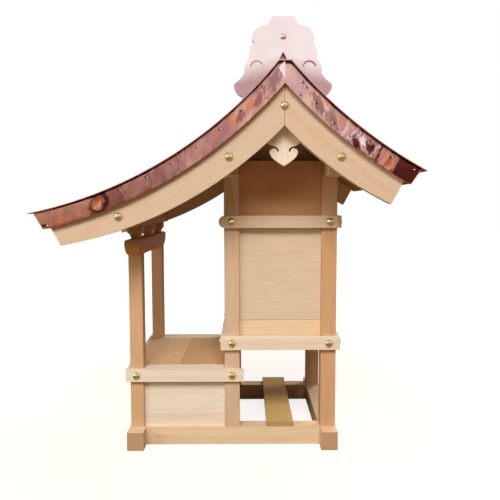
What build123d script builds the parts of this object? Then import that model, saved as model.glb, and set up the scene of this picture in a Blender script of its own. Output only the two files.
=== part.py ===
"""Small outdoor household shrine of plain cypress under a curved copper roof, in millimetres.

X runs across the shrine, Y from front (minus) to back (plus), Z up from the ground.
The origin is on the ground under the middle of the whole shrine.
"""

import os
from math import cos, radians, sin, sqrt

from build123d import *

# Plan of the timber frame
BODY_WIDTH = 214.0            # over the outer faces of the posts
BODY_DEPTH = 164.0            # over the outer faces of the body posts
PORCH_DEPTH = 139.5           # body post's front face to porch post's front face
BODY_POST = 22.0              # square
PORCH_POST = 20.0             # square
PORCH_POST_CHAMFER = 1.0

# Heights, each measured from the piece below it
SILL_HEIGHT = 27.0
PORCH_PANEL_HEIGHT = 70.5     # sill to porch rail
PORCH_RAIL_HEIGHT = 18.0
RISER_HEIGHT = 29.0           # porch floor to floor rail
FLOOR_RAIL_HEIGHT = 19.5
DOORWAY_HEIGHT = 159.5        # floor rail to upper rail
UPPER_RAIL_HEIGHT = 17.5
TRANSOM_HEIGHT = 54.5         # upper rail to the purlins' seat
WALL_RISE = 24.5              # side walls past the purlins' seat
RIDGE_RISE = 115.5            # purlins' seat to the roof's underside at the ridge

# Ground sills and the tie board laid over them
CROSS_SILL_WIDTH = 24.0
CROSS_SILL_NOSE = 22.0        # end past the post
TIE_BOARD_WIDTH = 40.0
TIE_BOARD_THICKNESS = 7.5

# Rails nailed on the posts
RAIL_THICKNESS = 5.5
UPPER_RAIL_NOSE = 7.5         # rounded front end, past the post
PORCH_RAIL_TAIL = 6.5         # back end, past the body post

# Boards
PANEL_THICKNESS = 8.0
PANEL_RECESS = 5.0            # from the post's outer face
GABLE_RECESS = 40.0           # from the post's outer face
FLOOR_THICKNESS = 10.0
LINTEL_DEPTH = 14.0
DOOR_THICKNESS = 9.0
DOOR_GAP = 1.0
DOOR_RAIL_HEIGHT = 16.0
DOOR_STILE_WIDTH = 14.0
DOOR_FIELD_DEPTH = 2.0        # how far the door's field lies behind its frame

# Porch beam, the bearing blocks on it and the purlin they carry
PORCH_BEAM_HEIGHT = 23.0
PORCH_BEAM_NOSE = 24.0        # end past the post
PORCH_BEAM_NOSE_RISE = 15.0   # underside of the nose, up to its end
PORCH_BEAM_ROUND = 4.0        # upper edges
BLOCK_WIDTH = 21.0
BLOCK_FOOT_WIDTH = 12.0
BLOCK_HEIGHT = 18.0
BLOCK_HOLLOW_HEIGHT = 9.0     # lower part, drawn in to the foot
PORCH_PURLIN_WIDTH = 18.0
PORCH_PURLIN_DEPTH = 32.0     # under the roof, at the purlin's middle
RIDGE_PURLIN_WIDTH = 22.0
RIDGE_PURLIN_DEPTH = 46.0     # under the ridge

# Roof curve: each slope is an arc about a centre above it, steep at the ridge and flat at the eave
FRONT_EAVE = 100.5            # porch post's middle to the lower corner of the front eave
BACK_EAVE = 80.7              # body's back to the lower corner of the back eave
VERGE_REACH = 83.0            # post's outer face to the edge of the roof boards
FRONT_RADIUS = 586.0          # of the underside
BACK_RADIUS = 650.0
FRONT_PITCH_ANGLE = 48.8      # degrees, at the ridge
BACK_PITCH_ANGLE = 47.3       # degrees, at the ridge
FRONT_EAVE_ANGLE = 29.5       # degrees the eave's face leans out from upright
BACK_EAVE_ANGLE = 34.5        # degrees the eave's face leans out from upright
ROOF_THICKNESS = 22.7
RIDGE_FLAT_RISE = 27.5        # ridge's underside to the flat strip on top
COPPER = 1.0
UNDERLAY = 0.3                # felt between the boards and the copper sheets
VERGE_OVERHANG = 6.0          # copper sheet past the verge band
EAVE_OVERHANG = 5.5           # copper sheet past the eave band

# Bargeboards and the pendant behind their joint
BARGE_INSET = 5.0             # outer face behind the edge of the roof boards
BARGE_THICKNESS = 14.0
BARGE_RIDGE_DEPTH = 52.3      # upright, at the joint
BARGE_SETBACK = 7.2           # end of the board behind the eave's lower corner
BARGE_END_ANGLE = 28.0        # degrees the end cut leans from upright
FRONT_BARGE_END = 27.0        # length of the end cut
BACK_BARGE_END = 34.0
FRONT_BARGE_RADIUS = 545.0    # of the lower edge
BACK_BARGE_RADIUS = 500.0
PENDANT_HALF_WIDTH = 19.5
PENDANT_HEIGHT = 51.0         # point to the bargeboards' lower joint
PENDANT_THICKNESS = 8.0

# Ridge box and the ornamental plates at its ends
RIDGE_PLATE_INSET = 40.0      # outer face behind the edge of the roof boards
RIDGE_PLATE_RISE = 95.5       # ridge's underside to the top of the plate
RIDGE_PLATE_HALF_WIDTH = 65.5
RIDGE_PLATE_HEIGHT = 106.0
RIDGE_PLATE_THICKNESS = 10.0
PLATE_NOTCH_HALF_WIDTH = 12.0
PLATE_NOTCH_HEIGHT = 22.0     # over the flat strip
RIDGE_BOX_WIDTH = 42.0
RIDGE_BOX_HEIGHT = 38.0       # over the flat strip
RIDGE_CAP_WIDTH = 56.0
RIDGE_CAP_EDGE = 4.0
RIDGE_CAP_RISE = 5.0

# Ornament outlines, arc by arc, as shares of half width and height: the pendant upwards from its point
PENDANT_OUTLINE_SHARES = [
    [(0.0, 0.0), (0.28, 0.062), (0.53, 0.132)],
    [(0.53, 0.132), (0.84, 0.245), (0.98, 0.363)],
    [(0.98, 0.363), (0.86, 0.430), (0.65, 0.450)],
    [(0.65, 0.450), (0.51, 0.430), (0.46, 0.385)],
    [(0.46, 0.385), (0.40, 0.360), (0.34, 0.378)],
    [(0.34, 0.378), (0.38, 0.445), (0.54, 0.487)],
    [(0.54, 0.487), (0.86, 0.524), (1.24, 0.640)],
]
PENDANT_TOP_SHARES = [(1.24, 0.640), (0.80, 1.0), (0.45, 1.24), (0.0, 1.24)]    # hidden behind the bargeboards
# The ridge plate downwards from its top: neck, shoulder, cheek, two lobes, wing and wing tip
PLATE_OUTLINE_SHARES = [
    [(0.23, 0.0), (0.28, 0.065), (0.36, 0.115)],
    [(0.36, 0.115), (0.51, 0.135), (0.615, 0.216)],
    [(0.615, 0.216), (0.635, 0.270), (0.585, 0.320)],
    [(0.585, 0.320), (0.685, 0.410), (0.69, 0.520)],
    [(0.69, 0.520), (0.785, 0.610), (0.79, 0.700)],
    [(0.79, 0.700), (0.87, 0.765), (1.0, 0.830)],
    [(1.0, 0.830), (0.985, 0.905), (0.84, 0.985)],
]
# Where the hollow of a bearing block passes, outwards and upwards on its way from foot to full width
BLOCK_HOLLOW_SHARES = (0.36, 0.62)

# Cuts run past the piece by this much
OVERRUN = 20.0

# Levels that follow from the heights
PORCH_RAIL_BOTTOM = SILL_HEIGHT + PORCH_PANEL_HEIGHT
PORCH_RAIL_TOP = PORCH_RAIL_BOTTOM + PORCH_RAIL_HEIGHT
FLOOR_RAIL_BOTTOM = PORCH_RAIL_TOP + RISER_HEIGHT
FLOOR_RAIL_TOP = FLOOR_RAIL_BOTTOM + FLOOR_RAIL_HEIGHT
UPPER_RAIL_BOTTOM = FLOOR_RAIL_TOP + DOORWAY_HEIGHT
UPPER_RAIL_TOP = UPPER_RAIL_BOTTOM + UPPER_RAIL_HEIGHT
PURLIN_SEAT = UPPER_RAIL_TOP + TRANSOM_HEIGHT
WALL_TOP = PURLIN_SEAT + WALL_RISE
RIDGE_UNDERSIDE = PURLIN_SEAT + RIDGE_RISE
RIDGE_FLAT = RIDGE_UNDERSIDE + RIDGE_FLAT_RISE
RIDGE_PLATE_TOP = RIDGE_UNDERSIDE + RIDGE_PLATE_RISE
BARGE_JOINT = RIDGE_UNDERSIDE - BARGE_RIDGE_DEPTH
SHEET_BED = ROOF_THICKNESS + UNDERLAY
SHEET_LIFT = SHEET_BED + COPPER


class Slope:
    """One side of the roof.

    A reach is a distance from the ridge line, and a lift a distance square off the roof's underside.
    """

    def __init__(self, side, radius, pitch_angle, eave_angle, reach):
        self.side = side
        self.radius = radius
        self.lean = radians(eave_angle)
        self.reach = reach
        self.centre_reach = radius * sin(radians(pitch_angle))
        self.centre_height = RIDGE_UNDERSIDE + radius * cos(radians(pitch_angle))

    def height(self, reach, lift=0.0):
        """Level at a reach of the curve with this lift."""
        return self.centre_height - sqrt((self.radius - lift) ** 2 - (self.centre_reach - reach) ** 2)

    def reach_at(self, level, lift):
        """Reach at which the curve with this lift passes a level."""
        return self.centre_reach - sqrt((self.radius - lift) ** 2 - (self.centre_height - level) ** 2)

    def eave(self, lift, past=0.0):
        """Reach at which the curve with this lift meets the leaning eave face, or a face that far past it."""
        from_reach = self.reach + past - self.centre_reach
        from_height = self.height(self.reach) - self.centre_height
        run = from_reach * sin(self.lean) + from_height * cos(self.lean)
        square = from_reach ** 2 + from_height ** 2 - (self.radius - lift) ** 2
        return self.reach + past - (run + sqrt(run ** 2 - square)) * sin(self.lean)

    def place(self, reach, level):
        """Point of the side view, as (y, z)."""
        return (RIDGE_Y + self.side * reach, level)

    def on_curve(self, reach, lift=0.0):
        """Point of the side view on the curve with this lift."""
        return self.place(reach, self.height(reach, lift))

    def arc(self, start, end, lift=0.0):
        """Stretch of the curve between two reaches."""
        return ThreePointArc(*(self.on_curve(reach, lift) for reach in (start, (start + end) / 2, end)))


# Plan places that follow from the sizes
PORCH_REACH = BODY_DEPTH / 2 + PORCH_DEPTH - PORCH_POST / 2
FRONT = Slope(-1, FRONT_RADIUS, FRONT_PITCH_ANGLE, FRONT_EAVE_ANGLE, PORCH_REACH + FRONT_EAVE)
BACK = Slope(1, BACK_RADIUS, BACK_PITCH_ANGLE, BACK_EAVE_ANGLE, BODY_DEPTH / 2 + BACK_EAVE)
RIDGE_Y = (FRONT.eave(SHEET_LIFT) - BACK.eave(SHEET_LIFT)) / 2
BODY_FRONT = RIDGE_Y - BODY_DEPTH / 2
BODY_BACK = RIDGE_Y + BODY_DEPTH / 2
FRONT_POST_Y = BODY_FRONT + BODY_POST / 2
BACK_POST_Y = BODY_BACK - BODY_POST / 2
PORCH_Y = RIDGE_Y - PORCH_REACH
PORCH_FRONT = PORCH_Y - PORCH_POST / 2
PORCH_BACK = PORCH_Y + PORCH_POST / 2

HALF_WIDTH = BODY_WIDTH / 2
POST_INNER = HALF_WIDTH - BODY_POST
PORCH_POST_X = HALF_WIDTH - PORCH_POST / 2
PANEL_OUTER = HALF_WIDTH - PANEL_RECESS
PANEL_INNER = PANEL_OUTER - PANEL_THICKNESS
VERGE = HALF_WIDTH + VERGE_REACH
SHEET_EDGE = VERGE + COPPER + VERGE_OVERHANG
BARGE_OUTER = VERGE - BARGE_INSET
BARGE_INNER = BARGE_OUTER - BARGE_THICKNESS
PENDANT_INNER = BARGE_INNER - PENDANT_THICKNESS
PLATE_OUTER = VERGE - RIDGE_PLATE_INSET
PLATE_INNER = PLATE_OUTER - RIDGE_PLATE_THICKNESS

# Porch levels, hung from the roof's underside
PORCH_PURLIN_SEAT = FRONT.height(PORCH_REACH) - PORCH_PURLIN_DEPTH
PORCH_BEAM_TOP = PORCH_PURLIN_SEAT - BLOCK_HEIGHT
PORCH_BEAM_BOTTOM = PORCH_BEAM_TOP - PORCH_BEAM_HEIGHT


# Ways of making a piece

def block(x0, x1, y0, y1, z0, z1):
    """Squared timber or board between two corners."""
    return Pos((x0 + x1) / 2, (y0 + y1) / 2, (z0 + z1) / 2) * Box(x1 - x0, y1 - y0, z1 - z0)


def lines(points):
    """Straight edges from point to point."""
    return [Line(start, end) for start, end in zip(points, points[1:])]


def closed(points):
    """Straight edges round a closed outline."""
    return lines(points + points[:1])


def across(edges, x0, x1):
    """Side view outline, drawn in (y, z), carried across from x0 to x1."""
    return extrude(Plane.YZ.offset(x0) * make_face(edges), x1 - x0)


def along(edges, y0, y1):
    """Front view outline, drawn in (x, z), carried back from y0 to y1."""
    return extrude(Plane.XZ.offset(-y1) * make_face(edges), y1 - y0)


def pair(shape):
    """The piece on the right side and its mirror image on the left."""
    return Compound(children=[shape, mirror(shape, about=Plane.YZ)])


def between(start, end, shares):
    """Point that lies these shares of the way from start to end, taken apart for each direction."""
    return tuple(a + (b - a) * share for a, b, share in zip(start, end, shares))


def slope_region(slope, lift, start, end, level):
    """Everything between the curve with this lift and a level, from one reach to another, right across."""
    outline = [slope.arc(start, end, lift)]
    outline += lines([slope.on_curve(end, lift), slope.place(end, level), slope.place(start, level),
                      slope.on_curve(start, lift)])
    return across(outline, -SHEET_EDGE, SHEET_EDGE)


def under_roof(shape):
    """Trims a piece to the underside of both slopes."""
    for slope in (FRONT, BACK):
        shape = shape - slope_region(slope, 0.0, 0.0, slope.reach, RIDGE_PLATE_TOP)
    return shape


def on_sheets(shape):
    """Trims a piece to the top of the copper and of the flat strip between the sheets."""
    strip = []
    for slope in (FRONT, BACK):
        start = slope.reach_at(RIDGE_FLAT, SHEET_LIFT)
        end = RIDGE_PLATE_HALF_WIDTH + OVERRUN
        shape = shape - slope_region(slope, SHEET_LIFT, start, end, BARGE_JOINT)
        strip.append(RIDGE_Y + slope.side * start)
    return shape - block(-SHEET_EDGE, SHEET_EDGE, *strip, BARGE_JOINT, RIDGE_FLAT)


def ornament_point(share, side, half_width, base, height):
    """Point of an ornament on one side of the ridge line."""
    return (RIDGE_Y + side * share[0] * half_width, base + share[1] * height)


def ornament_arcs(tables, *size):
    """Arcs of one half of an ornament."""
    return [ThreePointArc(*(ornament_point(share, *size) for share in table)) for table in tables]


# Ground frame

def cross_sill(y):
    half = HALF_WIDTH + CROSS_SILL_NOSE
    return block(-half, half, y - CROSS_SILL_WIDTH / 2, y + CROSS_SILL_WIDTH / 2, 0.0, SILL_HEIGHT)


def side_sills():
    start = PORCH_Y + CROSS_SILL_WIDTH / 2
    end = BACK_POST_Y - CROSS_SILL_WIDTH / 2
    return pair(block(POST_INNER, HALF_WIDTH, start, end, 0.0, SILL_HEIGHT))


def tie_board():
    half = TIE_BOARD_WIDTH / 2
    return block(-HALF_WIDTH, HALF_WIDTH, RIDGE_Y - half, RIDGE_Y + half,
                 SILL_HEIGHT, SILL_HEIGHT + TIE_BOARD_THICKNESS)


# Posts

def body_post(side, y):
    half = BODY_POST / 2
    x = side * (HALF_WIDTH - half)
    return block(x - half, x + half, y - half, y + half, SILL_HEIGHT, PURLIN_SEAT)


def porch_post(side):
    half = PORCH_POST / 2
    x = side * PORCH_POST_X
    post = block(x - half, x + half, PORCH_FRONT, PORCH_BACK, SILL_HEIGHT, PORCH_BEAM_BOTTOM)
    return chamfer(post.edges().filter_by(Axis.Z), PORCH_POST_CHAMFER)


# Porch deck

def porch_side_panels():
    return pair(block(PANEL_INNER, PANEL_OUTER, PORCH_BACK, BODY_FRONT, SILL_HEIGHT, PORCH_RAIL_BOTTOM))


def porch_front_panel():
    inner = HALF_WIDTH - PORCH_POST
    front = PORCH_FRONT + PANEL_RECESS
    return block(-inner, inner, front, front + PANEL_THICKNESS, SILL_HEIGHT, PORCH_RAIL_TOP - FLOOR_THICKNESS)


def porch_joists():
    return pair(block(POST_INNER, HALF_WIDTH, PORCH_BACK, BODY_FRONT, PORCH_RAIL_BOTTOM, PORCH_RAIL_TOP))


def porch_floor():
    """Boards between the joists, over the front panel to the front rail, clear of the posts."""
    half = min(POST_INNER, HALF_WIDTH - PORCH_POST)
    return block(-half, half, PORCH_FRONT, BODY_FRONT + PANEL_RECESS,
                 PORCH_RAIL_TOP - FLOOR_THICKNESS, PORCH_RAIL_TOP)


def porch_side_rails():
    front = PORCH_FRONT - RAIL_THICKNESS
    back = BODY_FRONT + BODY_POST + PORCH_RAIL_TAIL
    return pair(block(HALF_WIDTH, HALF_WIDTH + RAIL_THICKNESS, front, back, PORCH_RAIL_BOTTOM, PORCH_RAIL_TOP))


def porch_front_rail():
    return block(-HALF_WIDTH, HALF_WIDTH, PORCH_FRONT - RAIL_THICKNESS, PORCH_FRONT,
                 PORCH_RAIL_BOTTOM, PORCH_RAIL_TOP)


def riser_board():
    front = BODY_FRONT + PANEL_RECESS
    return block(-POST_INNER, POST_INNER, front, front + PANEL_THICKNESS,
                 PORCH_RAIL_TOP - FLOOR_THICKNESS, FLOOR_RAIL_BOTTOM)


# Body

def floor_side_rails():
    return pair(block(HALF_WIDTH, HALF_WIDTH + RAIL_THICKNESS, BODY_FRONT - RAIL_THICKNESS,
                      BODY_BACK + RAIL_THICKNESS, FLOOR_RAIL_BOTTOM, FLOOR_RAIL_TOP))


def floor_end_rail(y):
    return block(-HALF_WIDTH, HALF_WIDTH, y, y + RAIL_THICKNESS, FLOOR_RAIL_BOTTOM, FLOOR_RAIL_TOP)


def chamber_floor():
    """Board between the walls, notched round the posts."""
    board = block(-PANEL_INNER, PANEL_INNER, BODY_FRONT, BODY_BACK - PANEL_RECESS - PANEL_THICKNESS,
                  FLOOR_RAIL_BOTTOM, FLOOR_RAIL_BOTTOM + FLOOR_THICKNESS)
    for side in (-1, 1):
        for y in (FRONT_POST_Y, BACK_POST_Y):
            board = board - body_post(side, y)
    return board


def side_walls():
    return pair(block(PANEL_INNER, PANEL_OUTER, BODY_FRONT + BODY_POST, BODY_BACK - BODY_POST,
                      FLOOR_RAIL_BOTTOM, WALL_TOP))


def back_wall():
    back = BODY_BACK - PANEL_RECESS
    return block(-POST_INNER, POST_INNER, back - PANEL_THICKNESS, back, FLOOR_RAIL_BOTTOM, PURLIN_SEAT)


def doors():
    """Two framed leaves, shut, that stand on the floor and meet in the middle."""
    front = BODY_FRONT + PANEL_RECESS
    inner, outer = DOOR_GAP / 2, POST_INNER - DOOR_GAP
    bottom, top = FLOOR_RAIL_BOTTOM + FLOOR_THICKNESS, UPPER_RAIL_BOTTOM - DOOR_GAP
    leaf = block(inner, outer, front, front + DOOR_THICKNESS, bottom, top)
    field = block(inner + DOOR_STILE_WIDTH, outer - DOOR_STILE_WIDTH, front - OVERRUN, front + DOOR_FIELD_DEPTH,
                  FLOOR_RAIL_TOP + DOOR_RAIL_HEIGHT, top - DOOR_RAIL_HEIGHT)
    return pair(leaf - field)


def lintel():
    return block(-POST_INNER, POST_INNER, BODY_FRONT, BODY_FRONT + LINTEL_DEPTH, UPPER_RAIL_BOTTOM, UPPER_RAIL_TOP)


def transom_panel():
    front = BODY_FRONT + PANEL_RECESS
    return block(-POST_INNER, POST_INNER, front, front + PANEL_THICKNESS, UPPER_RAIL_TOP, PURLIN_SEAT)


def upper_side_rails():
    """Rails with a rounded nose at the front."""
    nose = (BODY_FRONT - UPPER_RAIL_NOSE, (UPPER_RAIL_BOTTOM + UPPER_RAIL_TOP) / 2)
    lower, upper = (BODY_FRONT, UPPER_RAIL_BOTTOM), (BODY_FRONT, UPPER_RAIL_TOP)
    outline = lines([lower, (BODY_BACK, UPPER_RAIL_BOTTOM), (BODY_BACK, UPPER_RAIL_TOP), upper])
    outline.append(ThreePointArc(upper, nose, lower))
    return pair(across(outline, HALF_WIDTH, HALF_WIDTH + RAIL_THICKNESS))


def upper_back_rail():
    half = HALF_WIDTH + RAIL_THICKNESS
    return block(-half, half, BODY_BACK, BODY_BACK + RAIL_THICKNESS, UPPER_RAIL_BOTTOM, UPPER_RAIL_TOP)


# Purlins and gables

def body_purlin(y):
    half = BODY_POST / 2
    return under_roof(block(-BARGE_INNER, BARGE_INNER, y - half, y + half, PURLIN_SEAT, RIDGE_UNDERSIDE))


def ridge_timber(x0, x1):
    """Ridge purlin between two places, before it is trimmed to the roof."""
    half = RIDGE_PURLIN_WIDTH / 2
    return block(x0, x1, RIDGE_Y - half, RIDGE_Y + half, RIDGE_UNDERSIDE - RIDGE_PURLIN_DEPTH, RIDGE_PLATE_TOP)


def gable_boards():
    """Boards set in between the purlins that close the gables up to the roof."""
    outer = HALF_WIDTH - GABLE_RECESS
    board = block(outer - PANEL_THICKNESS, outer, BODY_FRONT + BODY_POST, BODY_BACK - BODY_POST,
                  PURLIN_SEAT, RIDGE_PLATE_TOP)
    return pair(under_roof(board - ridge_timber(-HALF_WIDTH, HALF_WIDTH)))


# Porch beam and what stands on it

def porch_beam():
    """Beam over the porch posts, its ends rounded up from below."""
    post, end = HALF_WIDTH, HALF_WIDTH + PORCH_BEAM_NOSE
    tip = PORCH_BEAM_BOTTOM + PORCH_BEAM_NOSE_RISE
    outline = lines([(end, tip), (end, PORCH_BEAM_TOP), (-end, PORCH_BEAM_TOP), (-end, tip)])
    outline.append(Line((-post, PORCH_BEAM_BOTTOM), (post, PORCH_BEAM_BOTTOM)))
    for side in (-1, 1):
        outline.append(TangentArc((side * post, PORCH_BEAM_BOTTOM), (side * end, tip), tangent=(side, 0)))
    beam = along(outline, PORCH_FRONT, PORCH_BACK)
    return fillet(beam.edges().filter_by(Axis.X).group_by(Axis.Z)[-1], PORCH_BEAM_ROUND)


def block_outline(middle):
    """Outline of a bearing block about its middle: square above, drawn in hollow to the foot."""
    half, foot = BLOCK_WIDTH / 2, BLOCK_FOOT_WIDTH / 2
    straight = PORCH_BEAM_TOP + BLOCK_HOLLOW_HEIGHT
    low, high = (foot, PORCH_BEAM_TOP), (half, straight)
    hollow = between(low, high, BLOCK_HOLLOW_SHARES)
    right = [low, hollow, high]
    left = [(-x, z) for x, z in right]
    moved_right, moved_left = ([(middle + x, z) for x, z in side] for side in (right, left))
    top_right, top_left = (middle + half, PORCH_PURLIN_SEAT), (middle - half, PORCH_PURLIN_SEAT)
    return [ThreePointArc(*moved_right), *lines([moved_right[-1], top_right, top_left, moved_left[-1]]),
            ThreePointArc(*moved_left[::-1]), Line(moved_left[0], moved_right[0])]


def porch_blocks():
    """Bearing blocks over both posts and the middle of the beam."""
    half = BLOCK_WIDTH / 2
    blocks = []
    for x in (-PORCH_POST_X, 0.0, PORCH_POST_X):
        front_view = along(block_outline(x), PORCH_Y - half, PORCH_Y + half)
        side_view = across(block_outline(PORCH_Y), x - half, x + half)
        blocks.append(front_view & side_view)
    return Compound(children=blocks)


def porch_purlin():
    half = PORCH_PURLIN_WIDTH / 2
    return under_roof(block(-BARGE_INNER, BARGE_INNER, PORCH_Y - half, PORCH_Y + half,
                            PORCH_PURLIN_SEAT, RIDGE_UNDERSIDE))


# Bargeboards and pendants

def bargeboards(slope, end_cut, lower_radius):
    """Curved boards under one slope, tapered by an arc of their own below and mitred upright at the ridge."""
    lean = radians(BARGE_END_ANGLE)
    end = slope.reach - BARGE_SETBACK
    low = (end - end_cut * sin(lean), slope.height(end) - end_cut * cos(lean))
    drop = BARGE_JOINT - low[1]
    chord = sqrt(low[0] ** 2 + drop ** 2)
    sag = lower_radius - sqrt(lower_radius ** 2 - (chord / 2) ** 2)
    middle = (low[0] / 2 - sag * drop / chord, low[1] + drop / 2 - sag * low[0] / chord)
    joint = slope.place(0.0, BARGE_JOINT)
    outline = [
        slope.arc(0.0, end),
        Line(slope.on_curve(end), slope.place(*low)),
        ThreePointArc(slope.place(*low), slope.place(*middle), joint),
        Line(joint, slope.on_curve(0.0)),
    ]
    return pair(across(outline, BARGE_INNER, BARGE_OUTER))


def gable_pendants():
    """Cusped pendant boards, hung behind the bargeboards' joints."""
    edges = []
    for side in (-1, 1):
        size = (side, PENDANT_HALF_WIDTH, BARGE_JOINT - PENDANT_HEIGHT, PENDANT_HEIGHT)
        edges += ornament_arcs(PENDANT_OUTLINE_SHARES, *size)
        edges += lines([ornament_point(share, *size) for share in PENDANT_TOP_SHARES])
    return pair(across(edges, PENDANT_INNER, BARGE_INNER))


# Roof

def roof_profile(slope):
    """Side view of a slope's boards: curved above and below, leaning at the eave, cut flat along the ridge."""
    eave, flat = slope.eave(ROOF_THICKNESS), RIDGE_FLAT - COPPER
    start = slope.reach_at(flat, ROOF_THICKNESS)
    return [
        slope.arc(0.0, slope.reach),
        Line(slope.on_curve(slope.reach), slope.on_curve(eave, ROOF_THICKNESS)),
        slope.arc(eave, start, ROOF_THICKNESS),
        *lines([slope.on_curve(start, ROOF_THICKNESS), slope.place(0.0, flat), slope.on_curve(0.0)]),
    ]


def roof_board(slope):
    return across(roof_profile(slope), -VERGE, VERGE)


def verge_bands():
    """Copper bands on the gable edges of the roof boards."""
    front, back = (across(roof_profile(slope), VERGE, VERGE + COPPER) for slope in (FRONT, BACK))
    return pair(front + back)


def eave_bands():
    """Copper bands on the leaning eave faces."""
    bands = []
    for slope in (FRONT, BACK):
        inner, outer = slope.eave(ROOF_THICKNESS), slope.eave(ROOF_THICKNESS, COPPER)
        foot = slope.place(slope.reach + COPPER, slope.height(slope.reach))
        outline = lines([slope.on_curve(inner, ROOF_THICKNESS), slope.on_curve(slope.reach), foot,
                         slope.on_curve(outer, ROOF_THICKNESS)])
        outline.append(slope.arc(outer, inner, ROOF_THICKNESS))
        bands.append(across(outline, -VERGE - COPPER, VERGE + COPPER))
    return Compound(children=bands)


def copper_sheet(slope):
    """Sheet laid on one slope, past the verges and the eave, up to the flat strip."""
    tip = slope.eave(SHEET_LIFT) + EAVE_OVERHANG
    low, high = slope.reach_at(RIDGE_FLAT - COPPER, SHEET_BED), slope.reach_at(RIDGE_FLAT, SHEET_LIFT)
    outline = [
        slope.arc(low, tip, SHEET_BED),
        Line(slope.on_curve(tip, SHEET_BED), slope.on_curve(tip, SHEET_LIFT)),
        slope.arc(tip, high, SHEET_LIFT),
        Line(slope.on_curve(high, SHEET_LIFT), slope.on_curve(low, SHEET_BED)),
    ]
    return across(outline, -SHEET_EDGE, SHEET_EDGE)


def ridge_strip():
    """Flat copper strip along the ridge between the two sheets."""
    front, back = ([slope.on_curve(slope.reach_at(RIDGE_FLAT - COPPER, SHEET_BED), SHEET_BED),
                    slope.on_curve(slope.reach_at(RIDGE_FLAT, SHEET_LIFT), SHEET_LIFT)] for slope in (FRONT, BACK))
    return across(closed(front + back[::-1]), -SHEET_EDGE, SHEET_EDGE)


# Ridge

def ridge_box():
    """Copper-clad box along the ridge with a low pitched cap."""
    half, cap = RIDGE_BOX_WIDTH / 2, RIDGE_CAP_WIDTH / 2
    top = RIDGE_FLAT + RIDGE_BOX_HEIGHT
    edge = top + RIDGE_CAP_EDGE
    front = [(RIDGE_Y - half, BARGE_JOINT), (RIDGE_Y - half, top), (RIDGE_Y - cap, top), (RIDGE_Y - cap, edge)]
    back = [(2 * RIDGE_Y - y, z) for y, z in front[::-1]]
    outline = closed(front + [(RIDGE_Y, edge + RIDGE_CAP_RISE)] + back)
    return on_sheets(across(outline, -PLATE_INNER, PLATE_INNER))


def ridge_plates():
    """Scalloped plates that stand astride the roof at the ends of the ridge box."""
    edges, tops, feet = [], [], []
    for side in (-1, 1):
        size = (side, RIDGE_PLATE_HALF_WIDTH, RIDGE_PLATE_TOP, -RIDGE_PLATE_HEIGHT)
        edges += ornament_arcs(PLATE_OUTLINE_SHARES, *size)
        tip = ornament_point(PLATE_OUTLINE_SHARES[-1][-1], *size)
        foot = (tip[0], BARGE_JOINT)
        edges.append(Line(tip, foot))
        feet.append(foot)
        tops.append(ornament_point(PLATE_OUTLINE_SHARES[0][0], *size))
    edges += [Line(*tops), Line(*feet)]
    notch = closed([(RIDGE_Y - PLATE_NOTCH_HALF_WIDTH, RIDGE_FLAT), (RIDGE_Y + PLATE_NOTCH_HALF_WIDTH, RIDGE_FLAT),
                    (RIDGE_Y, RIDGE_FLAT + PLATE_NOTCH_HEIGHT)])
    plate = across(edges, PLATE_INNER, PLATE_OUTER) - across(notch, PLATE_INNER, PLATE_OUTER)
    return pair(on_sheets(plate))


def pieces():
    """Every piece of the shrine by name."""
    made = {
        "front_sill": cross_sill(PORCH_Y),
        "back_sill": cross_sill(BACK_POST_Y),
        "side_sills": side_sills(),
        "tie_board": tie_board(),
        "porch_side_panels": porch_side_panels(),
        "porch_front_panel": porch_front_panel(),
        "porch_joists": porch_joists(),
        "porch_floor": porch_floor(),
        "porch_side_rails": porch_side_rails(),
        "porch_front_rail": porch_front_rail(),
        "riser_board": riser_board(),
        "floor_side_rails": floor_side_rails(),
        "floor_front_rail": floor_end_rail(BODY_FRONT - RAIL_THICKNESS),
        "floor_back_rail": floor_end_rail(BODY_BACK),
        "chamber_floor": chamber_floor(),
        "side_walls": side_walls(),
        "back_wall": back_wall(),
        "doors": doors(),
        "lintel": lintel(),
        "transom_panel": transom_panel(),
        "upper_side_rails": upper_side_rails(),
        "upper_back_rail": upper_back_rail(),
        "front_purlin": body_purlin(FRONT_POST_Y),
        "back_purlin": body_purlin(BACK_POST_Y),
        "ridge_purlin": under_roof(ridge_timber(-PENDANT_INNER, PENDANT_INNER)),
        "gable_boards": gable_boards(),
        "porch_beam": porch_beam(),
        "porch_blocks": porch_blocks(),
        "porch_purlin": porch_purlin(),
        "front_bargeboards": bargeboards(FRONT, FRONT_BARGE_END, FRONT_BARGE_RADIUS),
        "back_bargeboards": bargeboards(BACK, BACK_BARGE_END, BACK_BARGE_RADIUS),
        "gable_pendants": gable_pendants(),
        "front_roof_board": roof_board(FRONT),
        "back_roof_board": roof_board(BACK),
        "front_copper_sheet": copper_sheet(FRONT),
        "back_copper_sheet": copper_sheet(BACK),
        "ridge_strip": ridge_strip(),
        "verge_bands": verge_bands(),
        "eave_bands": eave_bands(),
        "ridge_box": ridge_box(),
        "ridge_plates": ridge_plates(),
    }
    for side, hand in ((1, "right"), (-1, "left")):
        made[f"porch_post_{hand}"] = porch_post(side)
        made[f"front_post_{hand}"] = body_post(side, FRONT_POST_Y)
        made[f"back_post_{hand}"] = body_post(side, BACK_POST_Y)
    return made


def main():
    os.makedirs("parts", exist_ok=True)
    for name, shape in pieces().items():
        export_step(shape, f"parts/{name}.step")


if __name__ == "__main__":
    main()
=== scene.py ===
"""Dresses a small outdoor household shrine: cypress grain, worked copper, brass tacks, nails and a stage."""

import math

import bmesh
import bpy
from bpy.props import FloatProperty, FloatVectorProperty, PointerProperty
from mathutils import Matrix, Vector, noise


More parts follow.
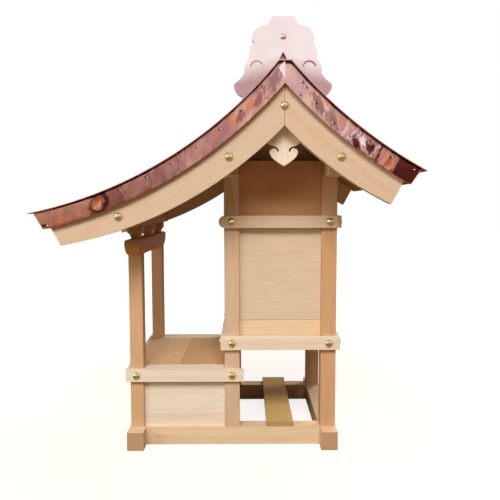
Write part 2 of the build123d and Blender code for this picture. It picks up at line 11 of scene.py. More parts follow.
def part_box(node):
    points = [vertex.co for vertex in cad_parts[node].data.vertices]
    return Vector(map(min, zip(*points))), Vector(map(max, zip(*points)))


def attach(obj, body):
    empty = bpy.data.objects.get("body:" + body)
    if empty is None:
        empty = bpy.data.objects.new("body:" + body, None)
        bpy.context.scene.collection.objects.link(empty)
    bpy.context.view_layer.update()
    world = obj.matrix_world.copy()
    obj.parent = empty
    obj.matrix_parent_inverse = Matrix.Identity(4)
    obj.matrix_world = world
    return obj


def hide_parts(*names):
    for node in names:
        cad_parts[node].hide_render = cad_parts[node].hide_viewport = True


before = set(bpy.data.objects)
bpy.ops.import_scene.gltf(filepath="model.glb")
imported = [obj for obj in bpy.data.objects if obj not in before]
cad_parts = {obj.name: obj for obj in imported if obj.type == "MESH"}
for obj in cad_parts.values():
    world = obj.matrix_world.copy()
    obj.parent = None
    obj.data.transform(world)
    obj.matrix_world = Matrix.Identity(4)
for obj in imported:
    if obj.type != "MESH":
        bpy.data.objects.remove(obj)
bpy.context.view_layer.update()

bl_info = {
    "name": "Household shrine finish",
    "version": (1, 0, 0),
    "blender": (4, 5, 0),
    "location": "3D View > Sidebar > Shrine",
    "description": "Gives the packed shrine its wood, copper and brass, and sets a plain stage",
    "category": "Object",
}

MM = 0.001
X, Y, Z = range(3)
# Left and right gables, and also front and back slopes: the side of the middle or ridge line that they lie on
SIDES = (-1, 1)
FRONT_SIDE, BACK_SIDE = SIDES


def middle(node, axis):
    """Middle of a CAD node along one axis."""
    low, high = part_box(node)
    return (low[axis] + high[axis]) / 2


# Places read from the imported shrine
BODY_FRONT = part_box("front_post_right")[0].y
HALF_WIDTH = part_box("front_post_right")[1].x
BODY_POST_X = middle("front_post_right", X)
FRONT_POST_Y = middle("front_post_right", Y)
BACK_POST_Y = middle("back_post_right", Y)
PORCH_POST_X = middle("porch_post_right", X)
PORCH_POST_Y = middle("porch_post_right", Y)
RIDGE_Y = (BODY_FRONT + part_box("back_post_right")[1].y) / 2
RAIL_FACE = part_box("floor_side_rails")[1].x
BARGE_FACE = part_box("front_bargeboards")[1].x
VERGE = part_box("front_roof_board")[1].x
PLATE_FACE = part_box("ridge_plates")[1].x
PLATE_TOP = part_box("ridge_plates")[1].z
STRIP_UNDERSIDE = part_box("ridge_strip")[0].z

# Roof curve, as the part's source works it out
RIDGE_UNDERSIDE = 511.0 * MM
ROOF_THICKNESS = 22.7 * MM


# Settings

def linear(code):
    """Linear colour of an sRGB hex value."""
    parts = [int(code[i:i + 2], 16) / 255 for i in (1, 3, 5)]
    return tuple(c / 12.92 if c <= 0.04045 else ((c + 0.055) / 1.055) ** 2.4 for c in parts)


def colour(name, description, code):
    """Setting for a colour, with an sRGB hex value as its default."""
    return FloatVectorProperty(name=name, description=description, subtype="COLOR", size=3, min=0, max=1,
                               default=linear(code))


def length(name, description, value):
    """Setting for a length in metres."""
    return FloatProperty(name=name, description=description, subtype="DISTANCE", unit="LENGTH", min=0,
                         default=value)


def power(name, description, value):
    """Setting for a lamp's power in watts."""
    return FloatProperty(name=name, description=description, subtype="POWER", unit="POWER", default=value)


class ShrineWood(bpy.types.PropertyGroup):
    """Planed, unfinished Japanese cypress."""
    post: colour("Post", "Earlywood of the porch posts, back posts, body purlins and lintel", "#D1AC84")
    rail: colour("Rail", "Earlywood of the front posts, upper side rails and bargeboards", "#D5BCA0")
    pale: colour("Pale rail", "Whitest earlywood: other rails, joists, panels, pendants, doors", "#EBDDC8")
    board: colour("Board", "Earlywood of the walls, gables, chamber floor and front panels", "#DAC5A8")
    sill: colour("Sill", "Earlywood of the ground sills", "#E6CBA6")
    # Painted shade: browner than the other boards, as the roof's shade over the porch floor
    floor: colour("Porch floor", "Browner boards of the porch floor", "#C79C6B")
    # Painted shade: the roof boards are drawn darker, as the shade under the roof
    roof: colour("Roof boards", "Rough, darkened boards under the roof", "#95653F")
    latewood: colour("Latewood", "Darker line of each year's growth", "#C08A5A")
    tie: colour("Tie board", "Older, yellowed board under the body", "#CBAC64")
    heart: colour("Heartwood", "Pinkish streaks of heartwood", "#D9A27C")
    # Painted shade: redder and darker for the porch's beam, blocks and purlin and the top wall boards, which
    # lie in the roof's shade
    red: colour("Red pieces", "Sawn from heartwood: porch beam, blocks, purlin, top wall boards", "#C38C5E")
    # Also painted light: it makes the porch's front floor board paler
    sap: colour("Sapwood boards", "Whole boards sawn from the yellower sapwood", "#F2D2A4")
    joint_line: colour("Joint line", "Dark line where the bargeboards meet", "#7A5433")
    end_grain: colour("End grain", "Cut ends, where the pores open", "#B18A65")
    ring: length("Ring", "Spacing of the growth rings, coarser than the real 1 to 2 mm to show", 3.4 * MM)
    joint: length("Board joint", "Open joint between two boards", 0.35 * MM)


class ShrineCopper(bpy.types.PropertyGroup):
    """New copper sheet, cut, folded and nailed by hand."""
    bright: colour("Bright copper", "Clean, pinkish sheet", "#DDA494")
    mauve: colour("Mauve", "First film of tarnish", "#AD777C")
    orange: colour("Orange", "Heat-tinted patches", "#D98A62")
    # Also laid on the bands as painted shade and painted dark reflection
    maroon: colour("Maroon", "Dark tarnish on dulled places", "#5A2522")
    # Painted shade: the sheets' undersides are drawn this dark, as the shade under their overhang
    rim: colour("Underside", "Undersides of the sheets, left dark", "#4A1D18")
    # Painted shade along the ridge plates' edges
    edge: colour("Cut edge", "Cut edges of the ridge plates", "#8C5A50")
    # Near white: a painted reflection on the ridge plates, and the pale painted highlight on the bands and
    # flaps
    plate_and_highlight: colour("Ridge plate", "Bright polish of the ridge plates and of places on the bands", "#FAE9E7")
    head: colour("Nail heads", "Hammered heads and the ridge strip, brighter than the sheet", "#F4C9BE")
    nail: length("Nail head", "Across a copper nail's head", 3.2 * MM)
    wrinkle: length("Wrinkle", "Height of the ripples in the hand-fitted band", 0.55 * MM)


class ShrineBrass(bpy.types.PropertyGroup):
    """Domed brass tacks."""
    brass: colour("Brass", "Polished brass", "#F0E8B8")
    shade: colour("Dull brass", "Brass where the polish has gone", "#B3A55C")
    tack: length("Tack", "Across a tack's dome", 11.0 * MM)
    dome: length("Dome", "Height of a tack's dome", 3.6 * MM)


class ShrineStage(bpy.types.PropertyGroup):
    """Floor, light and camera."""
    floor: colour("Floor", "Matt floor, as it throws light back", "#A0886A")
    card: colour("Card", "Plain card beside the camera that only polished metal mirrors", "#CFC0B6")
    glow: colour("Glow", "Tint of the even light, which comes off wood and floor", "#FFE0BC")
    key: power("Key lamp", "Soft lamp high on the gable side", 205.0)
    fill: power("Fill lamp", "Soft, low lamp on the porch's side", 34.0)
    rear: power("Rear lamp", "Soft lamp high behind the far gable", 75.0)
    ambient: FloatProperty(name="Ambient", description="Even light from all round", default=0.085, min=0)


# Nodes

# A colour Mix node's sockets go by number, because several of them share a name
FACTOR, BELOW, ABOVE, MIXED = 0, 6, 7, 2
BLACK, WHITE = (0, 0, 0, 1), (1, 1, 1, 1)


def add(tree, kind, links=None, **settings):
    """Adds a node with its settings, and links or values for its inputs by name or number."""
    made = tree.nodes.new(kind)
    for name, value in settings.items():
        setattr(made, name, value)
    for name, source in (links or {}).items():
        if isinstance(source, bpy.types.NodeSocket):
            tree.links.new(source, made.inputs[name])
        else:
            made.inputs[name].default_value = source
    return made


def new_material(name):
    """Empty material with its tree, surface shader and the shader's output linked."""
    material = bpy.data.materials.new(name)
    material.use_nodes = True
    tree = material.node_tree
    tree.nodes.clear()
    shader = add(tree, "ShaderNodeBsdfPrincipled")
    add(tree, "ShaderNodeOutputMaterial", {"Surface": shader.outputs[0]})
    return material, tree, shader


def rgba(value):
    """Opaque colour."""
    return (*value, 1.0)


def off_ridge(tree, place):
    """A place's distance from the ridge line in plan, and its height."""
    spot = add(tree, "ShaderNodeSeparateXYZ", {0: place}).outputs
    off = add(tree, "ShaderNodeMath", {0: spot["Y"], 1: RIDGE_Y}, operation="SUBTRACT").outputs[0]
    return add(tree, "ShaderNodeMath", {0: off}, operation="ABSOLUTE").outputs[0], spot["Z"]


# Pieces

def give(material, *nodes):
    """Puts a material on CAD nodes."""
    for name in nodes:
        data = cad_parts[name].data
        data.materials.clear()
        data.materials.append(material)


def mesh_of(made, name, material):
    """Ends a bmesh as a mesh with one material."""
    mesh = bpy.data.meshes.new(name)
    made.to_mesh(mesh)
    made.free()
    mesh.materials.append(material)
    return mesh


def made_plain(maker):
    """Plain mesh of what an object's modifiers or bevel make. The object itself goes."""
    bpy.context.scene.collection.objects.link(maker)
    shown = maker.evaluated_get(bpy.context.evaluated_depsgraph_get())
    mesh = bpy.data.meshes.new_from_object(shown)
    bpy.data.objects.remove(maker)
    return mesh


def finish_piece(name, mesh, slot, *replaced):
    """Makes a finished mesh a piece of the shrine."""
    piece = bpy.data.objects.new(name, mesh)
    bpy.context.scene.collection.objects.link(piece)
    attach(piece, "root")
    if replaced:
        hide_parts(*replaced)


# Wood

# How steeply the straight grain of the front and back bargeboards falls
FRONT_FALL, BACK_FALL = math.radians(28), math.radians(38)
SQUARE = math.radians(90)

# Ways that the grain runs: the turn that brings it onto X, and its line
GRAINS = {
    "x": ((0, 0, 0), (1, 0, 0)),
    "y": ((0, 0, -SQUARE), (0, 1, 0)),
    "z": ((0, SQUARE, 0), (0, 0, 1)),
    "front_slope": ((-FRONT_FALL, 0, -SQUARE), (0, math.cos(FRONT_FALL), math.sin(FRONT_FALL))),
    "back_slope": ((BACK_FALL, 0, -SQUARE), (0, math.cos(BACK_FALL), -math.sin(BACK_FALL))),
}

# Length and width of the streaks and fibres. Real fibres are too fine to show, so these are coarser
STREAK = (625 * MM, 40 / 3 * MM)
FIBRE = (250 / 7 * MM, 10 / 9 * MM)
FIBRE_RELIEF = 0.2 * MM
# How often the rings waver along the grain, as a share of how often they do across it
RING_DRAW = 0.14
# Half width of the dark line where the bargeboards meet: full, and faded out
MITRE_LINE = (0.2 * MM, 0.6 * MM)

# What each laid board says of itself: its number, and its shares of the sapwood and red colours, which also
# carry painted light and painted shade
BOARD_KEYS = ("board", "sap", "red")
# Step in the tree from one laid board to the next, in metres
BOARD_STEP = (0.31, 0.17, 0.23)

# The back posts' tree: how far it is moved along the grain in metres, and how far its pith lies inside the
# left post's middle
FLAME_START = -0.25
PITH_INSIDE = 6 * MM

# Inner face of the side walls, and the joints between their boards, one of them behind the upper rail
WALL_INNER = HALF_WIDTH - 13 * MM
WALL_JOINTS = [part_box("floor_side_rails")[1].z + 23 * MM, middle("upper_side_rails", Z)]
# Eased edges of the boards
WALL_EDGE = 0.4 * MM
FLOOR_EDGE = 0.5 * MM
# Shares of the sapwood and red colours in the boards, from the lowest or front one on. The top wall board's
# red share is painted shade under the roof, and the front floor board's sapwood share is painted light
WALL_TONES = [(0.6, 0.0), (0.0, 0.0), (0.0, 0.9)]
FLOOR_TONES = [(0.35, 0.0), (0.0, 0.0)]


def repeats(size):
    """How often a pattern of this length and width comes in a metre along the grain and across it."""
    along, across = size
    return (1 / along, 1 / across, 1 / across)


def hinoki(name, grain, early, contrast=0.35, heart=0.5, offset=(0, 0, 0), runout=1.2, ends=0.8,
           mitred=False):
    """Planed cypress: pale and silky, with fine straight growth lines, pinkish streaks and dull end grain.

    Contrast, heart and ends are the most that latewood, heartwood and end grain show, from nought to one.
    Offset moves the piece in its tree, and runout is how far the grain leans off the piece, in degrees.
    """
    wood = bpy.context.scene.shrine_wood
    turn, line = GRAINS[grain]
    material, tree, shader = new_material(name)
    place = add(tree, "ShaderNodeTexCoord").outputs["Object"]
    # No two laid boards show the same stretch of tree. On other pieces these values read as nought
    number, sap, red = (
        add(tree, "ShaderNodeAttribute", attribute_name=key).outputs["Fac"] for key in BOARD_KEYS)
    step = add(tree, "ShaderNodeVectorMath", {0: BOARD_STEP, "Scale": number}, operation="SCALE").outputs[0]
    moved = add(tree, "ShaderNodeVectorMath", {0: place, 1: step}).outputs[0]
    along = add(tree, "ShaderNodeMapping", {"Vector": moved, "Rotation": turn, "Location": offset}).outputs[0]
    lean = math.radians(runout)
    tilted = add(tree, "ShaderNodeMapping", {
        "Vector": along, "Rotation": (0, lean, lean), "Scale": (RING_DRAW, 1, 1)}).outputs[0]
    # A wave's period is 2 pi over 20 times its scale
    rings = add(tree, "ShaderNodeTexWave", {
        "Vector": tilted, "Scale": math.tau / 20 / wood.ring, "Distortion": 5.0, "Detail": 2.0,
        "Detail Scale": 0.35}, wave_type="RINGS", rings_direction="X", wave_profile="SAW").outputs["Fac"]
    long = add(tree, "ShaderNodeMapping", {"Vector": along, "Scale": repeats(STREAK)}).outputs[0]
    streaks = add(tree, "ShaderNodeTexNoise", {"Vector": long, "Scale": 1.0, "Detail": 3.0}).outputs["Fac"]
    fine = add(tree, "ShaderNodeMapping", {"Vector": along, "Scale": repeats(FIBRE)}).outputs[0]
    fibre = add(tree, "ShaderNodeTexNoise", {"Vector": fine, "Scale": 1.0, "Detail": 2.0}).outputs["Fac"]
    late = add(tree, "ShaderNodeMapRange", {"Value": rings, "To Max": contrast}).outputs[0]
    pink = add(tree, "ShaderNodeMapRange", {
        "Value": streaks, "From Min": 0.45, "From Max": 0.75, "To Max": heart}).outputs[0]
    tint = rgba(early)
    # On laid boards the sapwood and red shares also paint light and shade
    for amount, laid in ((sap, wood.sap), (red, wood.red), (late, wood.latewood), (pink, wood.heart)):
        tint = add(tree, "ShaderNodeMix", {FACTOR: amount, BELOW: tint, ABOVE: rgba(laid)},
                   data_type="RGBA").outputs[MIXED]
    shade = add(tree, "ShaderNodeMapRange", {
        "Value": fibre, "From Min": 0.3, "From Max": 0.7, "To Min": 0.92, "To Max": 1.06}).outputs[0]
    tint = add(tree, "ShaderNodeMix", {FACTOR: 1.0, BELOW: tint, ABOVE: shade}, data_type="RGBA",
               blend_type="MULTIPLY").outputs[MIXED]
    normal = add(tree, "ShaderNodeNewGeometry").outputs["Normal"]
    facing = add(tree, "ShaderNodeVectorMath", {0: normal, 1: line}, operation="DOT_PRODUCT").outputs["Value"]
    end_face = add(tree, "ShaderNodeMath", {0: facing}, operation="ABSOLUTE").outputs[0]
    cut = add(tree, "ShaderNodeMapRange", {
        "Value": end_face, "From Min": 0.75, "From Max": 0.95, "To Max": ends}).outputs[0]
    tint = add(tree, "ShaderNodeMix", {FACTOR: cut, BELOW: tint, ABOVE: rgba(wood.end_grain)},
               data_type="RGBA").outputs[MIXED]
    if mitred:
        apart, _ = off_ridge(tree, place)
        dark, clear = MITRE_LINE
        mitre = add(tree, "ShaderNodeMapRange", {
            "Value": apart, "From Min": dark, "From Max": clear, "To Min": 0.8, "To Max": 0.0}).outputs[0]
        tint = add(tree, "ShaderNodeMix", {FACTOR: mitre, BELOW: tint, ABOVE: rgba(wood.joint_line)},
                   data_type="RGBA").outputs[MIXED]
    tree.links.new(tint, shader.inputs["Base Color"])
    rough = add(tree, "ShaderNodeMapRange", {"Value": fibre, "To Min": 0.55, "To Max": 0.72}).outputs[0]
    tree.links.new(rough, shader.inputs["Roughness"])
    shader.inputs["IOR"].default_value = 1.5
    shader.inputs["Specular IOR Level"].default_value = 0.2
    bump = add(tree, "ShaderNodeBump", {"Height": fibre, "Strength": 0.12, "Distance": FIBRE_RELIEF})
    tree.links.new(bump.outputs[0], shader.inputs["Normal"])
    return material


def boards_mesh(name, boxes, edge, material, tones):
    """Boards with eased edges in one mesh, each with its number and its shares of sapwood and heartwood."""
    made = bmesh.new()
    for key in BOARD_KEYS:
        made.verts.layers.float.new(key)
    number, sap, red = (made.verts.layers.float[key] for key in BOARD_KEYS)
    for index, (low, high) in enumerate(boxes):
        centre = (Vector(low) + Vector(high)) / 2
        size = Vector(high) - Vector(low)
        matrix = Matrix.Translation(centre) @ Matrix.Diagonal((*size, 1))
        cube = bmesh.ops.create_cube(made, size=1.0, matrix=matrix)
        edges = {e for v in cube["verts"] for e in v.link_edges}
        eased = bmesh.ops.bevel(made, geom=list(edges), offset=edge, segments=2, profile=0.5, affect="EDGES")
        for v in {v for f in eased["faces"] for v in f.verts}:
            v[number] = index + 1
            v[sap], v[red] = tones[index % len(tones)]
    bmesh.ops.recalc_face_normals(made, faces=made.faces)
    return mesh_of(made, name, material)


def split(box, axis, cuts, gap):
    """A box cut across one axis at these places, with a gap between the boards."""
    low, high = list(box[0]), list(box[1])
    edges = [low[axis], *cuts, high[axis]]
    boards = []
    for index, (start, end) in enumerate(zip(edges, edges[1:])):
        a, b = list(low), list(high)
        a[axis] = start + (gap / 2 if index else 0)
        b[axis] = end - (gap / 2 if index < len(cuts) else 0)
        boards.append((a, b))
    return boards


class SHRINE_OT_timber(bpy.types.Operator):
    """Puts cypress with its grain along each piece on the posts, sills, beams, purlins and joists"""
    bl_idname = "shrine.timber"
    bl_label = "Timber frame"

    def execute(self, context):
        wood = context.scene.shrine_wood
        give(hinoki("hinoki_porch_post", "z", wood.post, contrast=0.34, heart=0.7),
             "porch_post_right", "porch_post_left")
        give(hinoki("hinoki_post", "z", wood.rail, contrast=0.44, heart=0.5),
             "front_post_right", "front_post_left")
        # The back posts' rings lie about one pith in the left one, which cuts them flat on the right one's
        # outer face, where they show as flames
        flame = (FLAME_START, -BACK_POST_Y, -BODY_POST_X + PITH_INSIDE)
        give(hinoki("hinoki_post_flat_sawn", "z", wood.post, contrast=0.6, heart=0.5, offset=flame,
                    runout=3.0), "back_post_right", "back_post_left")
        give(hinoki("hinoki_sill_cross", "x", wood.sill, contrast=0.3), "front_sill", "back_sill")
        give(hinoki("hinoki_purlin", "x", wood.post), "front_purlin", "back_purlin", "ridge_purlin", "lintel")
        # The porch's head pieces take the red colour, painted shade of the roof over them
        give(hinoki("hinoki_porch_head", "x", wood.red), "porch_purlin", "porch_beam", "porch_blocks")
        give(hinoki("hinoki_sill_side", "y", wood.sill, contrast=0.16, heart=0.25), "side_sills")
        give(hinoki("hinoki_joist", "y", wood.pale, contrast=0.2, heart=0.2), "porch_joists")
        return {"FINISHED"}


class SHRINE_OT_boards(bpy.types.Operator):
    """Lays the wall, floor and panel boards, with their open joints"""
    bl_idname = "shrine.boards"
    bl_label = "Boards"

    def execute(self, context):
        wood = context.scene.shrine_wood
        lengthways = hinoki("hinoki_board_lengthways", "y", wood.board, contrast=0.1, heart=0.25)
        crossways = hinoki("hinoki_board_crossways", "x", wood.board, contrast=0.3, heart=0.55)
        give(lengthways, "gable_boards")
        give(hinoki("hinoki_panel", "y", wood.pale, contrast=0.09, heart=0.35), "porch_side_panels")
        give(hinoki("hinoki_tie_board", "x", wood.tie, contrast=0.4, heart=0.4), "tie_board")
        give(crossways, "porch_front_panel", "riser_board", "chamber_floor", "transom_panel", "back_wall")
        # Dark roof boards, painted shade under the roof
        give(hinoki("hinoki_roof_board", "x", wood.roof, contrast=0.3, heart=0.2),
             "front_roof_board", "back_roof_board")
        low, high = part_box("side_walls")
        walls = []
        for side in SIDES:
            left, right = sorted((side * WALL_INNER, side * high.x))
            walls += split(((left, low.y, low.z), (right, high.y, high.z)), Z, WALL_JOINTS, wood.joint)
        mesh = boards_mesh("side_wall_boards", walls, WALL_EDGE, lengthways, WALL_TONES)
        finish_piece("side_wall_boards", mesh, "hinoki_board", "side_walls")
        # Browner porch floor, painted shade; its front board's sapwood share is painted light
        deck = hinoki("hinoki_porch_floor", "x", wood.floor, contrast=0.2, heart=0.5)
        floor = split(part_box("porch_floor"), Y, [middle("porch_floor", Y)], wood.joint)
        mesh = boards_mesh("porch_floor_boards", floor, FLOOR_EDGE, deck, FLOOR_TONES)
        finish_piece("porch_floor_boards", mesh, "hinoki_board", "porch_floor")
        return {"FINISHED"}


class SHRINE_OT_trim(bpy.types.Operator):
    """Puts the paler cypress on the rails, bargeboards, pendants and doors"""
    bl_idname = "shrine.trim"
    bl_label = "Rails and bargeboards"

    def execute(self, context):
        wood = context.scene.shrine_wood
        give(hinoki("hinoki_upper_rail", "y", wood.rail, contrast=0.2, heart=0.2, ends=0.2),
             "upper_side_rails")
        give(hinoki("hinoki_rail_lengthways", "y", wood.pale, contrast=0.1, heart=0.3, ends=0.2),
             "porch_side_rails", "floor_side_rails")
        give(hinoki("hinoki_rail_crossways", "x", wood.pale, contrast=0.16, heart=0.25),
             "porch_front_rail", "floor_front_rail", "floor_back_rail", "upper_back_rail")
        give(hinoki("hinoki_bargeboard_front", "front_slope", wood.rail, contrast=0.09, heart=0.3, ends=0.4,
                    mitred=True), "front_bargeboards")
        give(hinoki("hinoki_bargeboard_back", "back_slope", wood.rail, contrast=0.09, heart=0.45, ends=0.4,
                    mitred=True), "back_bargeboards")
        # The pendants take the palest colour, painted light that offsets the bargeboards' shadow on them
        give(hinoki("hinoki_upright", "z", wood.pale, contrast=0.16, heart=0.2), "gable_pendants", "doors")
        return {"FINISHED"}


# Copper

# The film runs down the sheet in streaks: scale of its clouds along each axis, and how far they waver, in mm
FILM_DRAW = (1, 1, 0.4)
FILM_WAVER = 20
# Size of the heat-tinted blots
HEAT_BLOT = 17 * MM
# Hammer ripples in the sheet: how far apart, and how high
HAMMER_RIPPLE = 9 * MM
HAMMER_RELIEF = 1.2 * MM
# How far roughness goes below and above its mean
ROUGH_BELOW, ROUGH_ABOVE = 0.08, 0.12

# Painted reflection of the roof in mauve at a plate's foot: how fast its line falls from the ridge, how
# uneven it is, and its share
FOOT_FALL = 0.3
FOOT_WAVE = 24 * MM
FOOT_REFLECTION = 0.78
# Heights on a ridge plate at which that painted reflection begins and is full
LOBE_REFLECTION = (PLATE_TOP - 36 * MM, PLATE_TOP - 60 * MM)

# Faces painted dark as shade, and not metallic: the way they are judged by, and how far a face is turned to
# it where the own colour and metal begin and where they are full
PAINTED_SHADE_FACES = {"undersides": ((0, 0, 1), -0.5, -0.15), "edges": ((1, 0, 0), 0.3, 0.7)}

# What the verge bands' meshes say of each place: how much maroon, for tarnish with painted shade and painted
# dark reflection, orange, and pale painted highlight it shows
BAND_TONES = ("dull", "warm", "pale")
# How finely a band is drawn along the slope and across it
BAND_COLUMNS = {FRONT_SIDE: 300, BACK_SIDE: 240}
BAND_ROWS = 18
# How far a band's back and its mean face stand off the roof board's edge, and the least that its face does
BAND_SEAT = 0.02 * MM
BAND_OUT = 1.0 * MM
BAND_LEAST = 0.4 * MM
# The relief grows from nought at a band's ends to full on one 32nd of its length, and from a quarter at its
# long edges by a half with each row
RIM_RISE = 32
RIM_LEAST = 0.25
# Edges folded more sharply than this stay sharp
FOLD_ANGLE = math.radians(40)

# On a band, places are given in mm: reach from the ridge line, and lift square off the roof's underside.
# Swells of the sheet are given as seed, strength, length and height in mm, and slant.
# Ripples, as shares of the wrinkle
RIPPLES = [(0, 1.0, 10, 60), (5, 0.5, 4.5, 45)]
# Crumpled stretch of the back band: its ends, how soon it sets in, and its sharp folds and soft swells
CRUMPLE = (72, 141)
CRUMPLE_ONSET = 10
CRUMPLE_FOLDS = (11, 2.0, 9, 34, -0.3)
CRUMPLE_FOLD_HEIGHT = 2.4
CRUMPLE_SWELLS = (17, 1.2, 12, 12, 0.9)
# Dent on the front band: reach, lift, size, height and uneven outline. The back band is far off it
DENT_REACH, DENT_LIFT, DENT_SIZE = 240, 11.5, 10.5
DENT_HEIGHT = 0.7 * MM
DENT_OUTLINE = (0, 0.25, 6, 6)
FAR_OFF = 9.0
# Its raised rim, hollow, and the painted shade in a dark ring round it: strength, sharpness and radius in the
# dent's own size
DENT_RIM = (1.0, 2.2, 0.85)
DENT_HOLLOW = (0.3, 2.0, 0.0)
DENT_RING_SHADE = (0.85, 3.4, 1.0)
# Where the two lengths of each band lap: reach at the foot, and lean towards the eave
LAPS = {FRONT_SIDE: (172, 0.0), BACK_SIDE: (137, 0.45)}
LAP_HEIGHT = 0.4 * MM
# Creases across the back band, with a painted highlight on the pale ones and painted shade on the maroon one:
# tone, reach at the foot, lean towards the eave, half width and strength
CREASES = [("pale", 73.5, 0.4, 1.4, 0.45), ("pale", 78, 0.75, 1.0, 0.5), ("pale", 79.5, 1.0, 1.0, 0.4),
           ("pale", 107.5, 0.7, 1.4, 0.5), ("warm", 111.5, 0.65, 1.0, 0.8), ("dull", 116.5, 0.45, 0.9, 0.95),
           ("warm", 135, 0.45, 1.2, 0.8)]
CREASE_HEIGHT = 0.5 * MM
CREASE_BEND = (2.5, 1.6, 9, 5)
# Creases and dimples fade out at this many half widths, and are full within one half width less
FADED = 1.6

# Nails along the bands by slope: reach and lift
NAILS = {
    FRONT_SIDE: [(20, 3), (28, 18), (54, 15), (82, 15), (112, 15), (144, 15), (177, 16), (212, 17), (306, 3)],
    BACK_SIDE: [(18, 3), (21, 16), (26, 15), (38, 10), (61, 6), (139, 17), (167, 18)],
}
# Painted shade of a dimple beside each nail: how far along and up from it, half width and strength
NAIL_DIMPLE_SHADE = (2.0, 1.0, 1.2, 0.8)

# Spots on the bands by slope, orange, maroon for painted shade and painted dark reflection, and pale for
# painted highlight: tone, reach, lift, half size and strength
BAND_SPOTS = {
    FRONT_SIDE: [
        ("warm", 43.5, 12, 6, 0.9), ("warm", 68.5, 17, 4.5, 0.9), ("warm", 64, 9.5, 4.5, 0.9),
        ("warm", 87.5, 13.5, 4.5, 0.7), ("warm", 240, 13, 6.5, 0.9), ("dull", 57, 11.5, 5, 0.55),
        ("dull", 32, 11.5, 7, 0.5), ("dull", 13, 11.5, 8, 0.5), ("dull", 156, 11.5, 20, 0.34),
        ("dull", 190, 11.5, 20, 0.3), ("dull", 220, 11.5, 15, 0.45), ("dull", 311, 4, 2.5, 0.9),
        ("pale", 45, 4, 4, 0.35)],
    BACK_SIDE: [
        ("warm", 54, 20, 3.5, 0.8), ("warm", 73.5, 17, 4, 0.7), ("warm", 132, 10, 8, 0.9),
        ("dull", 42, 12, 8, 0.6), ("dull", 60, 9, 8, 0.45), ("dull", 90, 6, 6, 0.95),
        ("dull", 110, 9, 7.5, 0.95), ("dull", 135.5, 15, 2.2, 0.9), ("pale", 53, 15.5, 4, 0.4),
        ("pale", 100, 11.5, 6, 0.9)],
}
# Their uneven outline, and how they fade: nought at this many half sizes, growing this fast inwards
SPOT_OUTLINE = (0, 0.9, 3, 6)
SPOT_FADED, SPOT_GROWTH = 1.2, 2.5

# Warmth of the front band towards the eave: where it begins, over what length it grows, and its most
EAVE_START, EAVE_LENGTH, EAVE_WARMTH = 205, 50, 0.3
# Painted highlight near the ridge, and the reach at which it has faded out by slope
RIDGE_HIGHLIGHT = 0.25
RIDGE_HIGHLIGHT_REACH = {FRONT_SIDE: 30, BACK_SIDE: 90}
# Mottled film
MOTTLE = (0, 0.25, 21, 15)
# Painted dark reflection on the back band past its lap, and how soon it sets in
LAP_DARK_REFLECTION, LAP_ONSET = 0.97, 2
# Painted shadow along the band's top, tucked under the roof sheet and under the ridge strip: its depth below
# each, and how softly it ends
SHEET_SHADE, STRIP_SHADE, SHADE_FADE = 1.7, 3.6, 0.8

# Folded corner at the peak in mm: off the verge, sheet thickness, and corners as reach, lift and curl
FLAP_SEAT, FLAP_SHEET = 1.3, 0.5
FLAP_CORNERS = [(0.0, 2.0, 0.0), (0.0, 17.5, 0.2), (4.5, 18.5, 0.5), (8.5, 18.0, 0.9), (3.5, 9.5, 0.4)]
# Painted highlight on the folded corner, as its share of the pale colour
FLAP_HIGHLIGHT = 0.9


class RoofSlope:
    """One slope of the roof, with reach from the ridge line and lift square off the underside."""

    def __init__(self, side, radius, pitch, lean, reach):
        self.side = side
        self.radius = radius * MM
        self.reach = reach * MM
        self.lean = math.radians(lean)
        self.centre_reach = self.radius * math.sin(math.radians(pitch))
        self.centre_height = RIDGE_UNDERSIDE + self.radius * math.cos(math.radians(pitch))

    def height(self, reach, lift=0.0):
        """Height of the curve with this lift."""
        return self.centre_height - math.sqrt((self.radius - lift) ** 2 - (self.centre_reach - reach) ** 2)

    def start(self, lift):
        """Reach at which the band begins: the ridge line, or the flat strip's underside."""
        past = math.sqrt((self.radius - lift) ** 2 - (self.centre_height - STRIP_UNDERSIDE) ** 2)
        return max(0.0, self.centre_reach - past)

    def eave(self, lift):
        """Reach at which the curve with this lift meets the leaning eave face."""
        dy = self.reach - self.centre_reach
        dz = self.height(self.reach) - self.centre_height
        run = dy * math.sin(self.lean) + dz * math.cos(self.lean)
        square = dy ** 2 + dz ** 2 - (self.radius - lift) ** 2
        return self.reach - (run + math.sqrt(run ** 2 - square)) * math.sin(self.lean)

    def place(self, x, reach, lift):
        """Place on the curve with this lift."""
        return Vector((x, RIDGE_Y + self.side * reach, self.height(reach, lift)))


# As the part's source works them out, in mm and degrees
FRONT = RoofSlope(side=FRONT_SIDE, radius=586.0, pitch=48.8, lean=29.5, reach=312.0)
BACK = RoofSlope(side=BACK_SIDE, radius=650.0, pitch=47.3, lean=34.5, reach=162.7)


